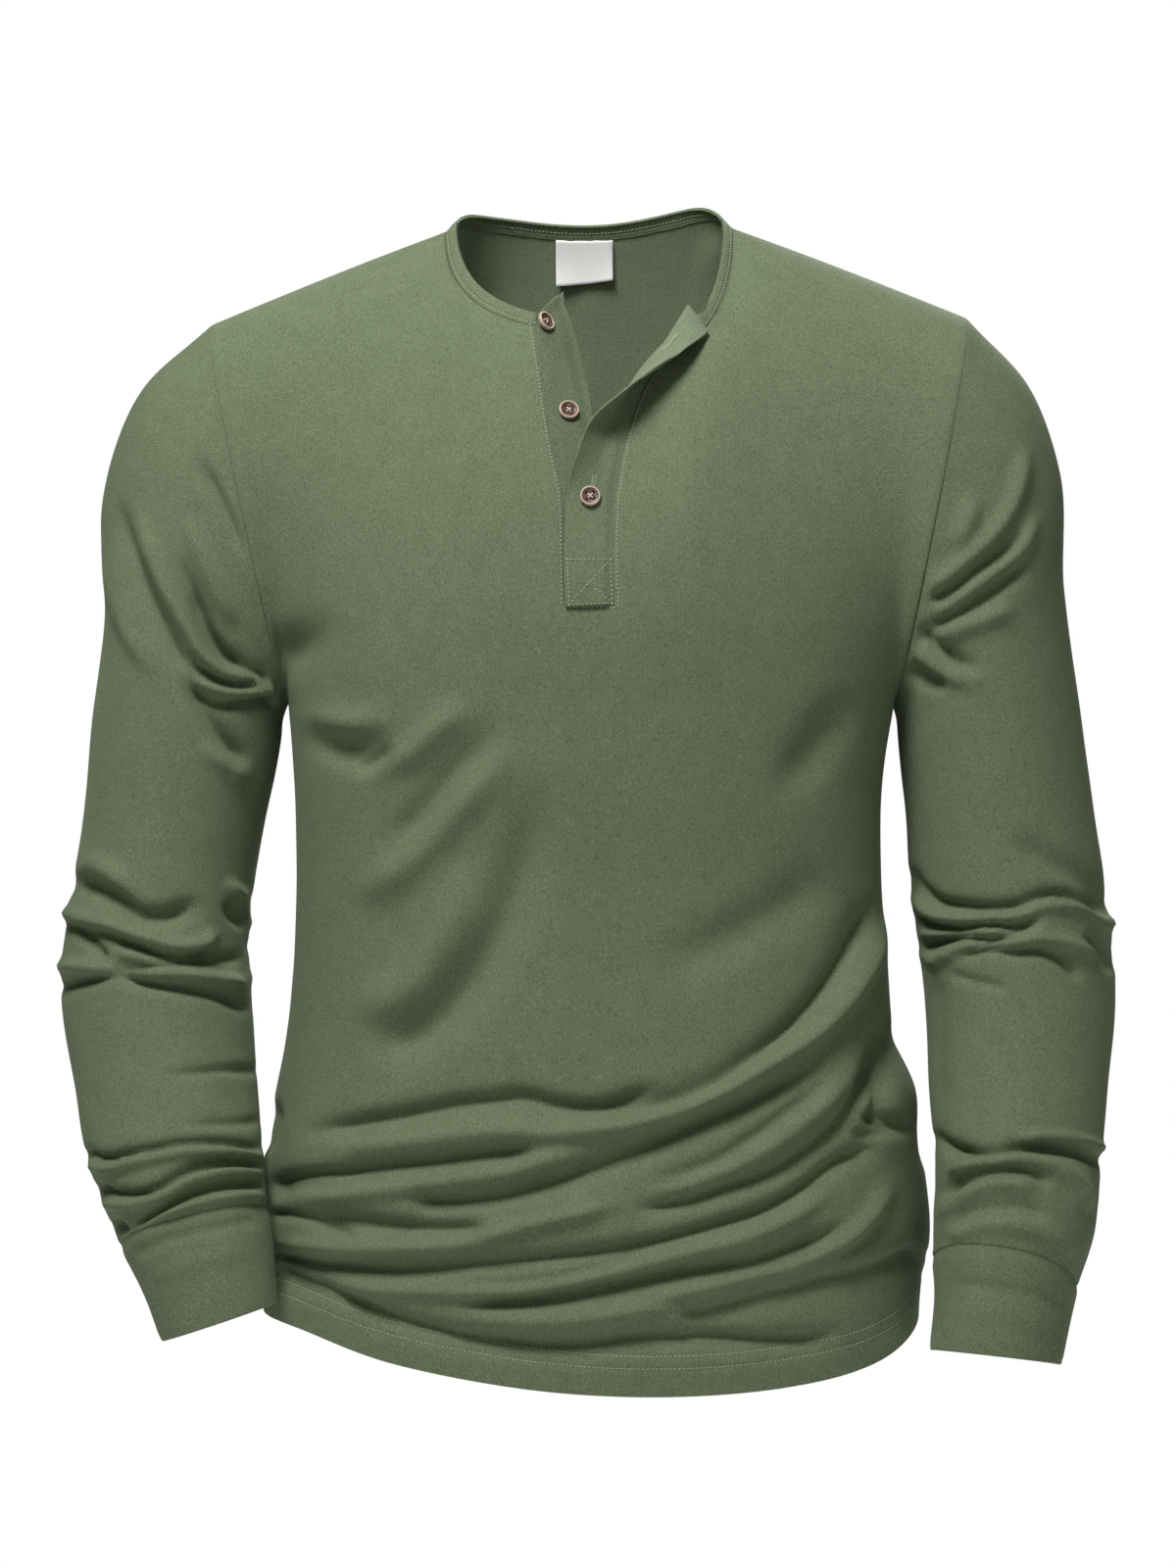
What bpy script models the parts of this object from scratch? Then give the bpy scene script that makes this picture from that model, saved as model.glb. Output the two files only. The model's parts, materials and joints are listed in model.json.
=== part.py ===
"""Long-sleeved henley shirt, filled out as if worn, with nobody in it.

Every piece is a thin wall of cloth with the shape that it takes on a general figure.
Inside this script lengths are in millimetres; make_object turns them into metres.
+X is towards the figure's left sleeve side, -Y is the front and +Z is up. The origin
is on the middle line between the two high shoulder points, where the neck starts.
The tables give places in a front elevation: what is seen from VIEW_DISTANCE in front
of the shirt at the height VIEW_HEIGHT. The function placed() turns them into real places.
"""

import math

import bpy
import numpy as np

# Driving sizes
MILLIMETRE = 0.001
VIEW_DISTANCE = 2550.0
VIEW_HEIGHT = -348.0
CLOTH = 1.2                  # wall of the jersey
CUFF = 1.8                   # wall of each cuff, which is double
BINDING = 1.8                # wall of the neckband, which is folded double
PLACKET = 1.4                # wall of each placket strip, also double
LABEL = 1.0                  # wall of the label
SEAM_GAP = 0.40              # between neighbours at a seam

ARMPIT_Z = -298.0
BODY_ROUND = 2.3             # superellipse exponent of a level section

SHOULDER_POINT_LEFT = (-231.0, -71.5)
SHOULDER_POINT_RIGHT = (228.0, -67.0)
SHOULDER_BOW = 1.2           # of the shoulder seam, above a straight line
NECK_POINT_LEFT = (-88.0, -14.0)
NECK_POINT_RIGHT = (86.0, -12.0)
NECK_SHARE = 0.42            # share of the panel's half width that the neckline takes
NECK_ROUND = 2.5
NECK_DROP_CLOSED = 59.0      # of the side of the neckline that lies flat
NECK_DROP_OPEN = 85.0        # of the side that is spread open
NECK_OPENS_AT = -36.0        # x where the neckline starts to drop towards its open side
NECK_OPENS_OVER = 100.0
NECK_FRONT = 74.0
NECK_BACK = 58.0
BAND_WIDTH = 10.0
BAND_RISE_FRONT = 0.78
BAND_RISE_BACK = 0.86
BAND_INWARD = 0.55
BAND_TURNS_OVER = 45.0       # depth in front of the shoulder seam over which the band stands up
BAND_END = (63.7, -50.0, -63.7)  # upper corner of its slanting end at the upper strip
BAND_SLANT = 42.0            # length over which it goes over into that slant

PLACKET_WIDTH = 28.0
PLACKET_FOOT_Z = -240.0
PLACKET_LIFT = 1.9           # of the upper strip over the lower one
LIFT_OVER = 6.0              # distance from its seam over which the upper strip rises
SINK_AT = 17.0               # distance from its seam at which the lower strip dips under the upper one
SINK_OVER = 8.0
UNDER_RISE = 27.0            # how much higher the lower strip's turned-in edge ends than its seam
UNDER_RISE_AT = -110.0       # height where that rise begins
UNDER_RISE_OVER = 50.0
FLAP_AT = -190.0             # height where the upper strip begins to turn
FLAP_OVER = 35.0

# The label's place in the front elevation
LABEL_LEFT = -21.0
LABEL_RIGHT = 13.0
LABEL_TOP = -17.0
LABEL_LOW_LEFT = -46.5
LABEL_LOW_RIGHT = -42.9
LABEL_GAP = 0.9

BUTTON_SIDES = 20
BUTTON_PROFILE = (
    # radius, height
    (5.2, 0.0),
    (6.0, 0.7),
    (6.0, 2.0),
    (5.3, 2.6),
    (4.5, 2.5),
    (3.9, 1.8),
    (0.0, 1.6),
)
BUTTONS = (
    # name, strip, x, z, stand of its underside over the strip
    ("button_top", "placket_under", -29.0, -69.5, 1.1),
    ("button_middle", "placket_under", -13.6, -122.0, 0.5),
    ("button_bottom", "placket_over", -0.6, -174.0, 0.5),
)
NEAREST = 4                  # points of a strip that a button's place is read from

# Level sections of the body: height, left edge, right edge, depth in front, depth behind
BODY_SECTIONS = (
    # z, left, right, front, back
    (-298.0, -183.0, 183.0, 122.0, 112.0),
    (-348.0, -179.0, 176.0, 119.0, 108.0),
    (-407.0, -178.0, 175.0, 114.0, 103.0),
    (-467.0, -180.0, 180.0, 113.0, 102.0),
    (-502.0, -184.0, 184.0, 115.0, 104.0),
    (-532.0, -190.0, 196.0, 118.0, 107.0),
    (-562.0, -196.0, 197.0, 121.0, 110.0),
    (-615.0, -199.0, 203.0, 125.0, 114.0),
    (-656.0, -198.0, 199.0, 125.0, 115.0),
    (-705.0, -196.0, 197.0, 124.0, 114.0),
)

# Height of the hem across a panel
HEM = (
    # share, z
    (-1.00, -664.0),
    (-0.66, -669.0),
    (-0.38, -685.0),
    (0.00, -700.0),
    (0.38, -698.0),
    (0.66, -687.0),
    (0.85, -674.0),
    (1.00, -664.0),
)

# How each column of a panel leaves the armpit level and meets the shoulder or the neck:
# share of the half width, rise and forward pull at the foot, the same at the top
FRONT_SWEEP = (
    # share, foot_forward, foot_rise, top_forward, top_rise
    (0.00, 40.0, 240.0, -75.0, 215.0),
    (0.42, 45.0, 240.0, -190.0, 95.0),
    (0.70, 75.0, 240.0, -205.0, 40.0),
    (0.87, 150.0, 150.0, -240.0, 15.0),
    (1.00, 272.0, 0.0, -272.0, 0.0),
)
BACK_SWEEP = (
    # share, foot_forward, foot_rise, top_forward, top_rise
    (0.00, 30.0, 270.0, -100.0, 250.0),
    (0.25, 32.0, 268.0, -150.0, 190.0),
    (0.42, 40.0, 260.0, -250.0, 60.0),
    (0.70, 75.0, 240.0, -235.0, 35.0),
    (0.87, 150.0, 150.0, -245.0, 15.0),
    (1.00, 272.0, 0.0, -272.0, 0.0),
)

# Seams of the placket in the front elevation, from its foot to the neckline
SEAM_UNDER = (
    # z, x
    (-240.0, -15.4),
    (-212.0, -16.0),
    (-170.0, -17.8),
    (-140.0, -24.3),
    (-111.0, -28.5),
    (-64.0, -35.6),
)
SEAM_OVER = (
    # z, x
    (-240.0, 14.2),
    (-212.0, 13.2),
    (-170.0, 15.4),
    (-140.0, 20.8),
    (-122.0, 26.0),
    (-106.0, 33.0),
    (-90.0, 46.0),
    (-72.0, 66.0),
)
# Height of the neckline at the back
BACK_NECKLINE = (
    # x, z
    (-88.0, -14.0),
    (-82.7, -8.5),
    (-68.8, -7.6),
    (-50.0, -8.6),
    (-26.0, -11.0),
    (0.0, -11.6),
    (20.0, -10.4),
    (34.5, -8.1),
    (56.0, -4.2),
    (68.7, -1.8),
    (77.0, -3.0),
    (86.0, -12.0),
)
# How far the lower strip is turned towards the inside, by height, and where and over what width it bends
TURN_UNDER = (
    # z, degrees, crease, bend
    (-240.0, 0.0, 6.0, 12.0),
    (-140.0, 5.0, 6.0, 12.0),
    (-111.0, 16.0, 5.0, 12.0),
    (-87.0, 48.0, 4.0, 12.0),
    (-60.0, 74.0, 3.5, 11.0),
)
# Where and over what width the upper strip bends, by height, and the way that its free part then points
TURN_OVER = (
    # z, crease, bend, x, y, z
    (-240.0, 9.0, 12.0, -1.00, 0.00, 0.00),
    (-176.0, 9.0, 12.0, -0.98, -0.16, 0.02),
    (-150.0, 9.0, 12.0, -0.82, -0.56, 0.09),
    (-136.0, 8.5, 12.0, -0.62, -0.77, 0.12),
    (-124.0, 7.0, 10.0, -0.27, -0.96, 0.08),
    (-112.0, 6.0, 8.0, 0.04, -1.00, -0.02),
    (-100.0, 6.0, 6.0, 0.17, -0.94, -0.28),
    (-89.5, 6.0, 5.0, 0.27, -0.86, -0.43),
    (-76.0, 6.0, 5.0, 0.40, -0.68, -0.61),
    (-64.0, 6.0, 5.0, 0.51, -0.36, -0.77),
)

# Sleeve sections: outer edge, inner edge, depth of the middle line, half depth, rise of the front
SLEEVE_LEFT = (
    # outer_x, outer_z, inner_x, inner_z, y, half_depth, arch
    (-231.0, -71.5, -183.0, -298.0, 0.0, 68.0, 0.0),
    (-270.0, -107.5, -186.0, -308.0, 0.0, 66.0, 0.0),
    (-295.0, -176.0, -187.5, -322.0, 0.0, 63.0, 0.0),
    (-293.5, -241.0, -191.0, -341.0, 0.0, 61.0, 0.0),
    (-301.0, -309.0, -197.0, -370.0, 0.0, 60.0, 0.0),
    (-307.0, -370.0, -203.0, -406.0, -1.0, 58.0, 0.0),
    (-317.0, -432.0, -207.0, -445.0, -5.0, 57.0, 0.0),
    (-320.0, -468.0, -206.0, -470.0, -9.0, 56.0, 0.0),
    (-312.0, -532.0, -202.0, -530.0, -26.0, 51.0, 0.0),
    (-303.0, -580.0, -199.0, -568.0, -44.0, 47.0, 2.0),
    (-293.5, -606.0, -198.0, -586.0, -54.0, 45.0, 6.0),
    (-285.0, -627.0, -196.0, -604.0, -62.0, 41.0, 10.5),
)
CUFF_LEFT = (
    # outer_x, outer_z, inner_x, inner_z, y, half_depth, arch
    (-285.0, -627.0, -196.0, -604.0, -62.0, 41.0, 10.5),
    (-270.5, -655.0, -192.5, -633.0, -69.0, 37.0, 6.0),
    (-259.0, -684.5, -190.0, -661.5, -75.0, 34.0, 2.5),
)
SLEEVE_RIGHT = (
    # outer_x, outer_z, inner_x, inner_z, y, half_depth, arch
    (228.0, -67.0, 183.0, -298.0, 0.0, 68.0, 0.0),
    (262.0, -104.0, 185.0, -308.0, 0.0, 66.0, 0.0),
    (283.0, -160.0, 186.0, -322.0, 0.0, 63.0, 0.0),
    (286.0, -228.0, 188.0, -343.0, 0.0, 61.0, 0.0),
    (294.0, -292.0, 191.0, -371.0, 0.0, 60.0, 0.0),
    (303.0, -355.0, 193.5, -408.0, -1.0, 58.0, 0.0),
    (313.0, -425.0, 199.0, -447.0, -5.0, 57.0, 0.0),
    (316.5, -467.0, 201.5, -472.0, -9.0, 56.0, 0.0),
    (311.5, -540.0, 204.5, -535.0, -26.0, 51.0, 1.0),
    (307.0, -590.0, 208.5, -580.0, -44.0, 47.0, 6.0),
    (304.0, -622.0, 207.0, -609.0, -54.0, 45.0, 12.0),
    (294.5, -652.0, 206.5, -634.0, -60.0, 42.0, 18.0),
)
CUFF_RIGHT = (
    # outer_x, outer_z, inner_x, inner_z, y, half_depth, arch
    (294.5, -652.0, 206.5, -634.0, -60.0, 42.0, 18.0),
    (289.0, -675.0, 208.5, -659.0, -65.0, 38.0, 11.0),
    (283.5, -699.0, 206.0, -690.0, -70.0, 35.0, 5.0),
)

# Largest folds, each along a path in the front elevation: face, height, half width, path
BODY_FOLDS = (
    # face, height, half_width, path
    ("front", 6.0, 17.0, ((-165, -556), (-100, -540), (-30, -535), (60, -532), (115, -500), (165, -425))),
    ("front", 5.0, 15.0, ((-150, -595), (-80, -585), (0, -600), (60, -590), (115, -572), (170, -548))),
    ("front", -4.0, 13.0, ((-170, -572), (-100, -562), (-20, -566), (60, -556), (120, -528), (170, -480))),
    ("front", 5.0, 14.0, ((-180, -628), (-110, -640), (-20, -650), (60, -640), (130, -618), (180, -600))),
    ("front", -3.5, 13.0, ((-130, -612), (-50, -625), (20, -628), (90, -615), (150, -590))),
    ("front", 4.0, 20.0, ((-56, -308), (-95, -370), (-130, -400), (-160, -406))),
    ("front", 4.0, 20.0, ((-60, -400), (-85, -480), (-115, -506), (-150, -512))),
    ("front", -3.5, 20.0, ((-170, -300), (-130, -345), (-90, -330))),
    ("back", 6.0, 20.0, ((-170, -500), (-80, -535), (20, -545), (110, -530), (170, -490))),
    ("back", 5.0, 18.0, ((-170, -590), (-70, -600), (40, -590), (120, -575), (175, -560))),
    ("back", -4.0, 18.0, ((-170, -555), (-60, -568), (60, -562), (170, -535))),
    ("back", 5.0, 22.0, ((-110, -220), (-60, -330), (-20, -420), (0, -470))),
    ("back", 5.0, 22.0, ((120, -210), (75, -320), (40, -420), (30, -480))),
)
SLEEVE_LEFT_FOLDS = (
    # face, height, half_width, path
    ("front", 4.0, 10.0, ((-250, -150), (-225, -225), (-205, -270))),
    ("front", 4.5, 11.0, ((-290, -170), (-270, -245), (-235, -280), (-195, -290))),
    ("front", 5.0, 11.0, ((-318, -428), (-280, -444), (-240, -440), (-205, -425))),
    ("front", 5.0, 11.0, ((-325, -462), (-285, -472), (-240, -465), (-205, -470))),
    ("front", 4.5, 10.0, ((-310, -572), (-260, -562), (-200, -572))),
    ("front", 4.5, 9.0, ((-300, -602), (-250, -580), (-200, -590))),
    ("back", 5.0, 12.0, ((-325, -440), (-280, -430), (-240, -445), (-200, -440))),
    ("back", 5.0, 12.0, ((-310, -575), (-255, -570), (-200, -565))),
    ("back", 4.0, 12.0, ((-285, -190), (-250, -250), (-205, -285))),
)
SLEEVE_RIGHT_FOLDS = (
    # face, height, half_width, path
    ("front", 4.0, 10.0, ((262, -155), (240, -215), (205, -245))),
    ("front", 4.0, 11.0, ((285, -215), (250, -255), (205, -275))),
    ("front", 5.0, 11.0, ((195, -400), (225, -428), (270, -424), (315, -430))),
    ("front", 5.0, 11.0, ((200, -442), (250, -444), (290, -446), (322, -456))),
    ("front", 5.0, 10.0, ((205, -562), (245, -574), (310, -576))),
    ("front", 4.5, 9.0, ((215, -600), (255, -578), (300, -600))),
    ("back", 5.0, 12.0, ((200, -440), (250, -430), (322, -445))),
    ("back", 5.0, 12.0, ((205, -575), (255, -565), (312, -580))),
    ("back", 4.0, 12.0, ((275, -190), (245, -250), (200, -285))),
)
FOLD_FADE = 0.22             # share of a path over which its fold rises and dies away
FOLD_SAMPLES = 25            # points along a path at which a fold is read
FACE_TURN = 0.35             # how far round the side a face's folds go on, as a normal's depth
FACE_BLEND = 0.5
SIDE_FADE = 0.12             # share of a panel's half width over which its folds die away at a side
TOP_FADE = 0.5               # the same towards the shoulders, in levels
SLEEVE_TOP_FADE = 30.0       # lengths over which a sleeve's folds die away at its ends
SLEEVE_FOOT_FADE = 20.0

# Grid of the panels
SHOULDER_COLUMNS = 8
NECK_COLUMNS = 6
SLOT_COLUMNS = 3
BACK_NECK_COLUMNS = 10
HEM_ROWS = 15
WAIST_ROWS = 7
WAIST_SHARE = 0.58
SLOT_FOOT_ROWS = 3
CHEST_ROWS = 8
BACK_ROWS = 9
SLEEVE_ROWS = 26
CUFF_ROWS = 3
LABEL_CELLS = 3
STRIP_COLUMNS = 8
EVEN_PASSES = 8
EVEN_BELOW = 45.0            # how far from the armpit and the top a panel is evened fully
EVEN_FROM = 0.2              # shares across between which it is, and the widths of both ends
EVEN_TO = 0.8
EVEN_START = 0.1
EVEN_END = 0.2
BAND_ROWS = (0.0, 0.5, 1.0)  # shares of the neckband's width at its rows
LEVEL = np.array([1.0, 1.0, 0.0])

SEARCH_STEPS = 600           # places tried along a line to find where it crosses another
NEARLY = 0.001               # of a row, so that the last row is still read between two rows
ALIKE = 0.1                  # least likeness of normals that belong to one smooth surface
SHARP_EDGE = 40.0            # degrees

OLIVE = (0.105, 0.150, 0.078, 1.0)
OLIVE_LIGHT = (0.150, 0.200, 0.115, 1.0)
PLUM_BROWN = (0.120, 0.060, 0.050, 1.0)
WHITE = (0.800, 0.800, 0.780, 1.0)


# Curves and tables

def smooth(knots, values, at):
    """Read a smooth curve through the values at the knots, at the places given."""
    knots = np.asarray(knots, dtype=float)
    values = np.asarray(values, dtype=float)
    slopes = np.gradient(values, knots, axis=0)
    at = np.clip(at, knots[0], knots[-1])
    left = np.clip(np.searchsorted(knots, at, side="right") - 1, 0, len(knots) - 2)
    span = knots[left + 1] - knots[left]
    u = (at - knots[left]) / span
    if values.ndim > 1:
        u = u[..., None]
        span = span[..., None]
    start = (1 + 2 * u) * (1 - u) ** 2 * values[left] + u * (1 - u) ** 2 * span * slopes[left]
    end = u * u * (3 - 2 * u) * values[left + 1] + u * u * (u - 1) * span * slopes[left + 1]
    return start + end


def column(table, index):
    """One named column of a table, in the order of its rows."""
    return np.array([row[index] for row in table], dtype=float)


def ease(value):
    """Rise smoothly from 0 to 1 as the value does."""
    value = np.clip(value, 0.0, 1.0)
    return value * value * (3 - 2 * value)


def placed(x, y, z):
    """Real place of what the front elevation shows at (x, z) and lies at the depth y."""
    scale = (VIEW_DISTANCE + y) / VIEW_DISTANCE
    return np.stack(np.broadcast_arrays(x * scale, y, VIEW_HEIGHT + (z - VIEW_HEIGHT) * scale), axis=-1)


def elevation(points):
    """Where the front elevation shows real points, as x and z."""
    scale = VIEW_DISTANCE / (VIEW_DISTANCE + points[..., 1])
    return points[..., 0] * scale, VIEW_HEIGHT + (points[..., 2] - VIEW_HEIGHT) * scale


def unit(vectors):
    """Vectors of length 1 with the directions of those given."""
    return vectors / np.linalg.norm(vectors, axis=-1, keepdims=True)


def round_depth(across, exponent):
    """Depth of a unit superellipse at a place from -1 to 1 across it."""
    return np.maximum(0.0, 1.0 - np.abs(across) ** exponent) ** (1.0 / exponent)


# Body

def body_level(share, z, facing):
    """Point of a level section; the share runs -1..1 across the panel, facing is -1 in front."""
    knots = -column(BODY_SECTIONS, 0)
    left = smooth(knots, column(BODY_SECTIONS, 1), -z)
    right = smooth(knots, column(BODY_SECTIONS, 2), -z)
    depth = smooth(knots, column(BODY_SECTIONS, 3 if facing < 0 else 4), -z)
    across = np.sin(share * math.pi / 2)
    middle = (left + right) / 2
    half = (right - left) / 2
    y = facing * depth * round_depth(across, BODY_ROUND)
    return np.stack([middle + half * across, y, z], axis=-1)


def hem_height(share):
    """Height of the hem across a panel."""
    return smooth(column(HEM, 0), column(HEM, 1), share)


def panel_top(share, facing):
    """Upper edge of a panel: shoulder seam, neckline, shoulder seam."""
    right = share > 0
    neck_x = np.where(right, NECK_POINT_RIGHT[0], NECK_POINT_LEFT[0])
    neck_z = np.where(right, NECK_POINT_RIGHT[1], NECK_POINT_LEFT[1])
    tip_x = np.where(right, SHOULDER_POINT_RIGHT[0], SHOULDER_POINT_LEFT[0])
    tip_z = np.where(right, SHOULDER_POINT_RIGHT[1], SHOULDER_POINT_LEFT[1])
    out = np.clip((np.abs(share) - NECK_SHARE) / (1 - NECK_SHARE), 0.0, 1.0)
    bow = SHOULDER_BOW * 4 * out * (1 - out)
    flat = np.zeros_like(out)
    shoulder = placed(neck_x + (tip_x - neck_x) * out, flat, neck_z + (tip_z - neck_z) * out + bow)
    turn = np.sin(np.clip(share / NECK_SHARE, -1.0, 1.0) * math.pi / 2)
    across = np.abs(neck_x) * turn
    down = round_depth(turn, NECK_ROUND)
    if facing < 0:
        opened = ease((across - NECK_OPENS_AT) / NECK_OPENS_OVER)
        drop = NECK_DROP_CLOSED + (NECK_DROP_OPEN - NECK_DROP_CLOSED) * opened
        neckline = placed(across, -NECK_FRONT * down, neck_z - drop * down)
    else:
        height = smooth(column(BACK_NECKLINE, 0), column(BACK_NECKLINE, 1), across)
        neckline = np.stack([across, NECK_BACK * down, height], axis=-1)
    return np.where((np.abs(share) >= NECK_SHARE)[..., None], shoulder, neckline)


def body_point(share, level, facing):
    """Point of a body panel: level 0 is the hem, 1 the armpit and 2 the upper edge."""
    share, level = np.broadcast_arrays(share, level)
    hem = hem_height(share)
    lower = body_level(share, hem + (ARMPIT_Z - hem) * np.clip(level, 0.0, 1.0), facing)
    foot = body_level(share, np.full(share.shape, ARMPIT_Z), facing)
    top = panel_top(share, facing)
    sweep = FRONT_SWEEP if facing < 0 else BACK_SWEEP
    pull = smooth(column(sweep, 0), np.array([row[1:] for row in sweep]), np.abs(share))
    nothing = np.zeros_like(share)
    foot_pull = np.stack([nothing, facing * pull[..., 0], pull[..., 1]], axis=-1)
    top_pull = np.stack([nothing, facing * pull[..., 2], pull[..., 3]], axis=-1)
    t = np.clip(level - 1.0, 0.0, 1.0)[..., None]
    upper = (1 + 2 * t) * (1 - t) ** 2 * foot + t * t * (3 - 2 * t) * top
    upper = upper + t * (1 - t) ** 2 * foot_pull + t * t * (t - 1) * top_pull
    return np.where((level > 1.0)[..., None], upper, lower)


def level_at(z, facing):
    """Level on a panel's middle line whose elevation has this height."""
    levels = np.linspace(1.0, 2.0, SEARCH_STEPS)
    heights = elevation(body_point(np.zeros(SEARCH_STEPS), levels, facing))[1]
    return float(np.interp(z, heights, levels))


def share_on_seam(seam, level):
    """Share across the front where a row crosses a placket seam."""
    shares = np.linspace(-NECK_SHARE, NECK_SHARE, SEARCH_STEPS)
    x, z = elevation(body_point(shares, np.full(SEARCH_STEPS, level), -1))
    beyond = x - smooth(column(seam, 0), column(seam, 1), z)
    crossing = int(np.argmax(beyond > 0))
    step = beyond[crossing - 1] / (beyond[crossing - 1] - beyond[crossing])
    return float(shares[crossing - 1] + step * (shares[crossing] - shares[crossing - 1]))


def lower_levels():
    """Levels of the rows from the hem to the armpit, close together where the cloth is folded."""
    hem = np.linspace(0.0, WAIST_SHARE, HEM_ROWS + 1)
    waist = np.linspace(WAIST_SHARE, 1.0, WAIST_ROWS + 1)
    return np.concatenate([hem, waist[1:]])


def fold_offset(points, normals, folds):
    """How far the folds move each point out, for points on the side that the fold names."""
    x, z = elevation(points)
    moved = np.zeros(len(points))
    for face, height, half_width, path in folds:
        path = np.array(path, dtype=float)
        along = np.linspace(0.0, 1.0, FOLD_SAMPLES)
        line = smooth(np.linspace(0.0, 1.0, len(path)), path, along)
        distance = np.hypot(x[:, None] - line[None, :, 0], z[:, None] - line[None, :, 1])
        nearest = np.argmin(distance, axis=1)
        place = along[nearest]
        strength = ease(place / FOLD_FADE) * ease((1 - place) / FOLD_FADE)
        toward = -normals[:, 1] if face == "front" else normals[:, 1]
        shape = np.exp(-(distance.min(axis=1) / half_width) ** 2)
        moved += height * shape * strength * ease((toward + FACE_TURN) / FACE_BLEND)
    return moved


# Sheets of cloth

class Sheet:
    """Open surface of one piece: its points, its faces and how thick its wall is."""

    def __init__(self, name, points, faces, wall):
        self.name = name
        self.points = np.array(points, dtype=float).reshape(-1, 3)
        self.faces = np.array(faces, dtype=int)
        self.wall = wall
        self.normals = self.point_normals()

    def point_normals(self):
        """Normal of each point, from the faces round it."""
        corners = self.points[self.faces]
        across = corners[:, 2] - corners[:, 0]
        down = corners[:, 3] - corners[:, 1]
        face_normals = np.cross(across, down)
        total = np.zeros_like(self.points)
        for corner in range(4):
            np.add.at(total, self.faces[:, corner], face_normals)
        length = np.linalg.norm(total, axis=1, keepdims=True)
        return total / np.maximum(length, 1e-9)

    def rim(self):
        """Directed edges that only one face uses."""
        edges = {}
        for face in self.faces:
            for start, end in zip(face, np.roll(face, -1)):
                edges[(int(start), int(end))] = True
        return [edge for edge in edges if (edge[1], edge[0]) not in edges]

    def open_seams(self):
        """Draw the rim in by half the seam gap, square to each of its edges."""
        inward = {}
        for start, end in self.rim():
            along = self.points[end] - self.points[start]
            across = np.cross(self.normals[start] + self.normals[end], along)
            across /= np.linalg.norm(across)
            inward.setdefault(start, []).append(across)
            inward.setdefault(end, []).append(across)
        for index, (first, second) in inward.items():
            self.points[index] += (first + second) / (1.0 + first @ second) * SEAM_GAP / 2


def grid_faces(rows, columns, closed=False, keep=None):
    """Faces of a grid whose rows go up and whose columns go to the right, seen from outside."""
    faces = []
    for row in range(rows - 1):
        for place in range(columns if closed else columns - 1):
            if keep is not None and not keep(row, place):
                continue
            after = (place + 1) % columns
            faces.append((
                row * columns + place,
                row * columns + after,
                (row + 1) * columns + after,
                (row + 1) * columns + place,
            ))
    return faces


def turned(faces):
    """The same faces, looking the other way."""
    return [tuple(reversed(face)) for face in faces]


def share_normals(sheets):
    """Give points that meet at a seam one normal, so that the cut edges there stay parallel."""
    meeting = {}
    for sheet in sheets:
        for index in {point for edge in sheet.rim() for point in edge}:
            key = tuple(np.round(sheet.points[index], 3))
            meeting.setdefault(key, []).append((sheet, index))
    for places in meeting.values():
        normals = np.array([sheet.normals[index] for sheet, index in places])
        alike = normals @ normals.T > ALIKE
        for _ in places:
            alike = alike @ alike
        for number, (sheet, index) in enumerate(places):
            shared = normals[alike[number]].sum(axis=0)
            sheet.normals[index] = shared / np.linalg.norm(shared)


def panel_rows(shares, levels, facing):
    """Points of a panel, row by row."""
    return np.array([body_point(row, np.full(len(row), level), facing) for row, level in zip(shares, levels)])


def evened(grid, shares):
    """A panel without the ridges that its corners at the neck would send down the cloth."""
    up = np.cumsum(np.linalg.norm(np.diff(grid, axis=0, prepend=grid[:1]), axis=2), axis=0)
    armpit = HEM_ROWS + WAIST_ROWS
    weight = ease((up[-1] - up) / EVEN_BELOW) * ease((up - up[armpit]) / EVEN_BELOW) / 2
    place = np.abs(shares)
    weight *= ease((place - EVEN_FROM) / EVEN_START) * ease((EVEN_TO - place) / EVEN_END)
    for _ in range(EVEN_PASSES):
        between = (grid[:, :-2] + grid[:, 2:]) / 2
        grid[:, 1:-1] += weight[:, 1:-1, None] * (between - grid[:, 1:-1])
    return grid


def folded(sheet, folds, held):
    """Move a sheet's points along its normals by its folds, but not where they are held."""
    offset = fold_offset(sheet.points, sheet.normals, folds) * (1 - held)
    sheet.points += sheet.normals * offset[:, None]
    sheet.normals = sheet.point_normals()


def front_columns(seam_left, seam_right):
    """Shares of the front's columns in a row that crosses the placket seams at these shares."""
    return np.concatenate([
        np.linspace(-1.0, -NECK_SHARE, SHOULDER_COLUMNS + 1)[:-1],
        np.linspace(-NECK_SHARE, seam_left, NECK_COLUMNS + 1)[:-1],
        np.linspace(seam_left, seam_right, SLOT_COLUMNS + 1)[:-1],
        np.linspace(seam_right, NECK_SHARE, NECK_COLUMNS + 1)[:-1],
        np.linspace(NECK_SHARE, 1.0, SHOULDER_COLUMNS + 1),
    ])


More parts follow.
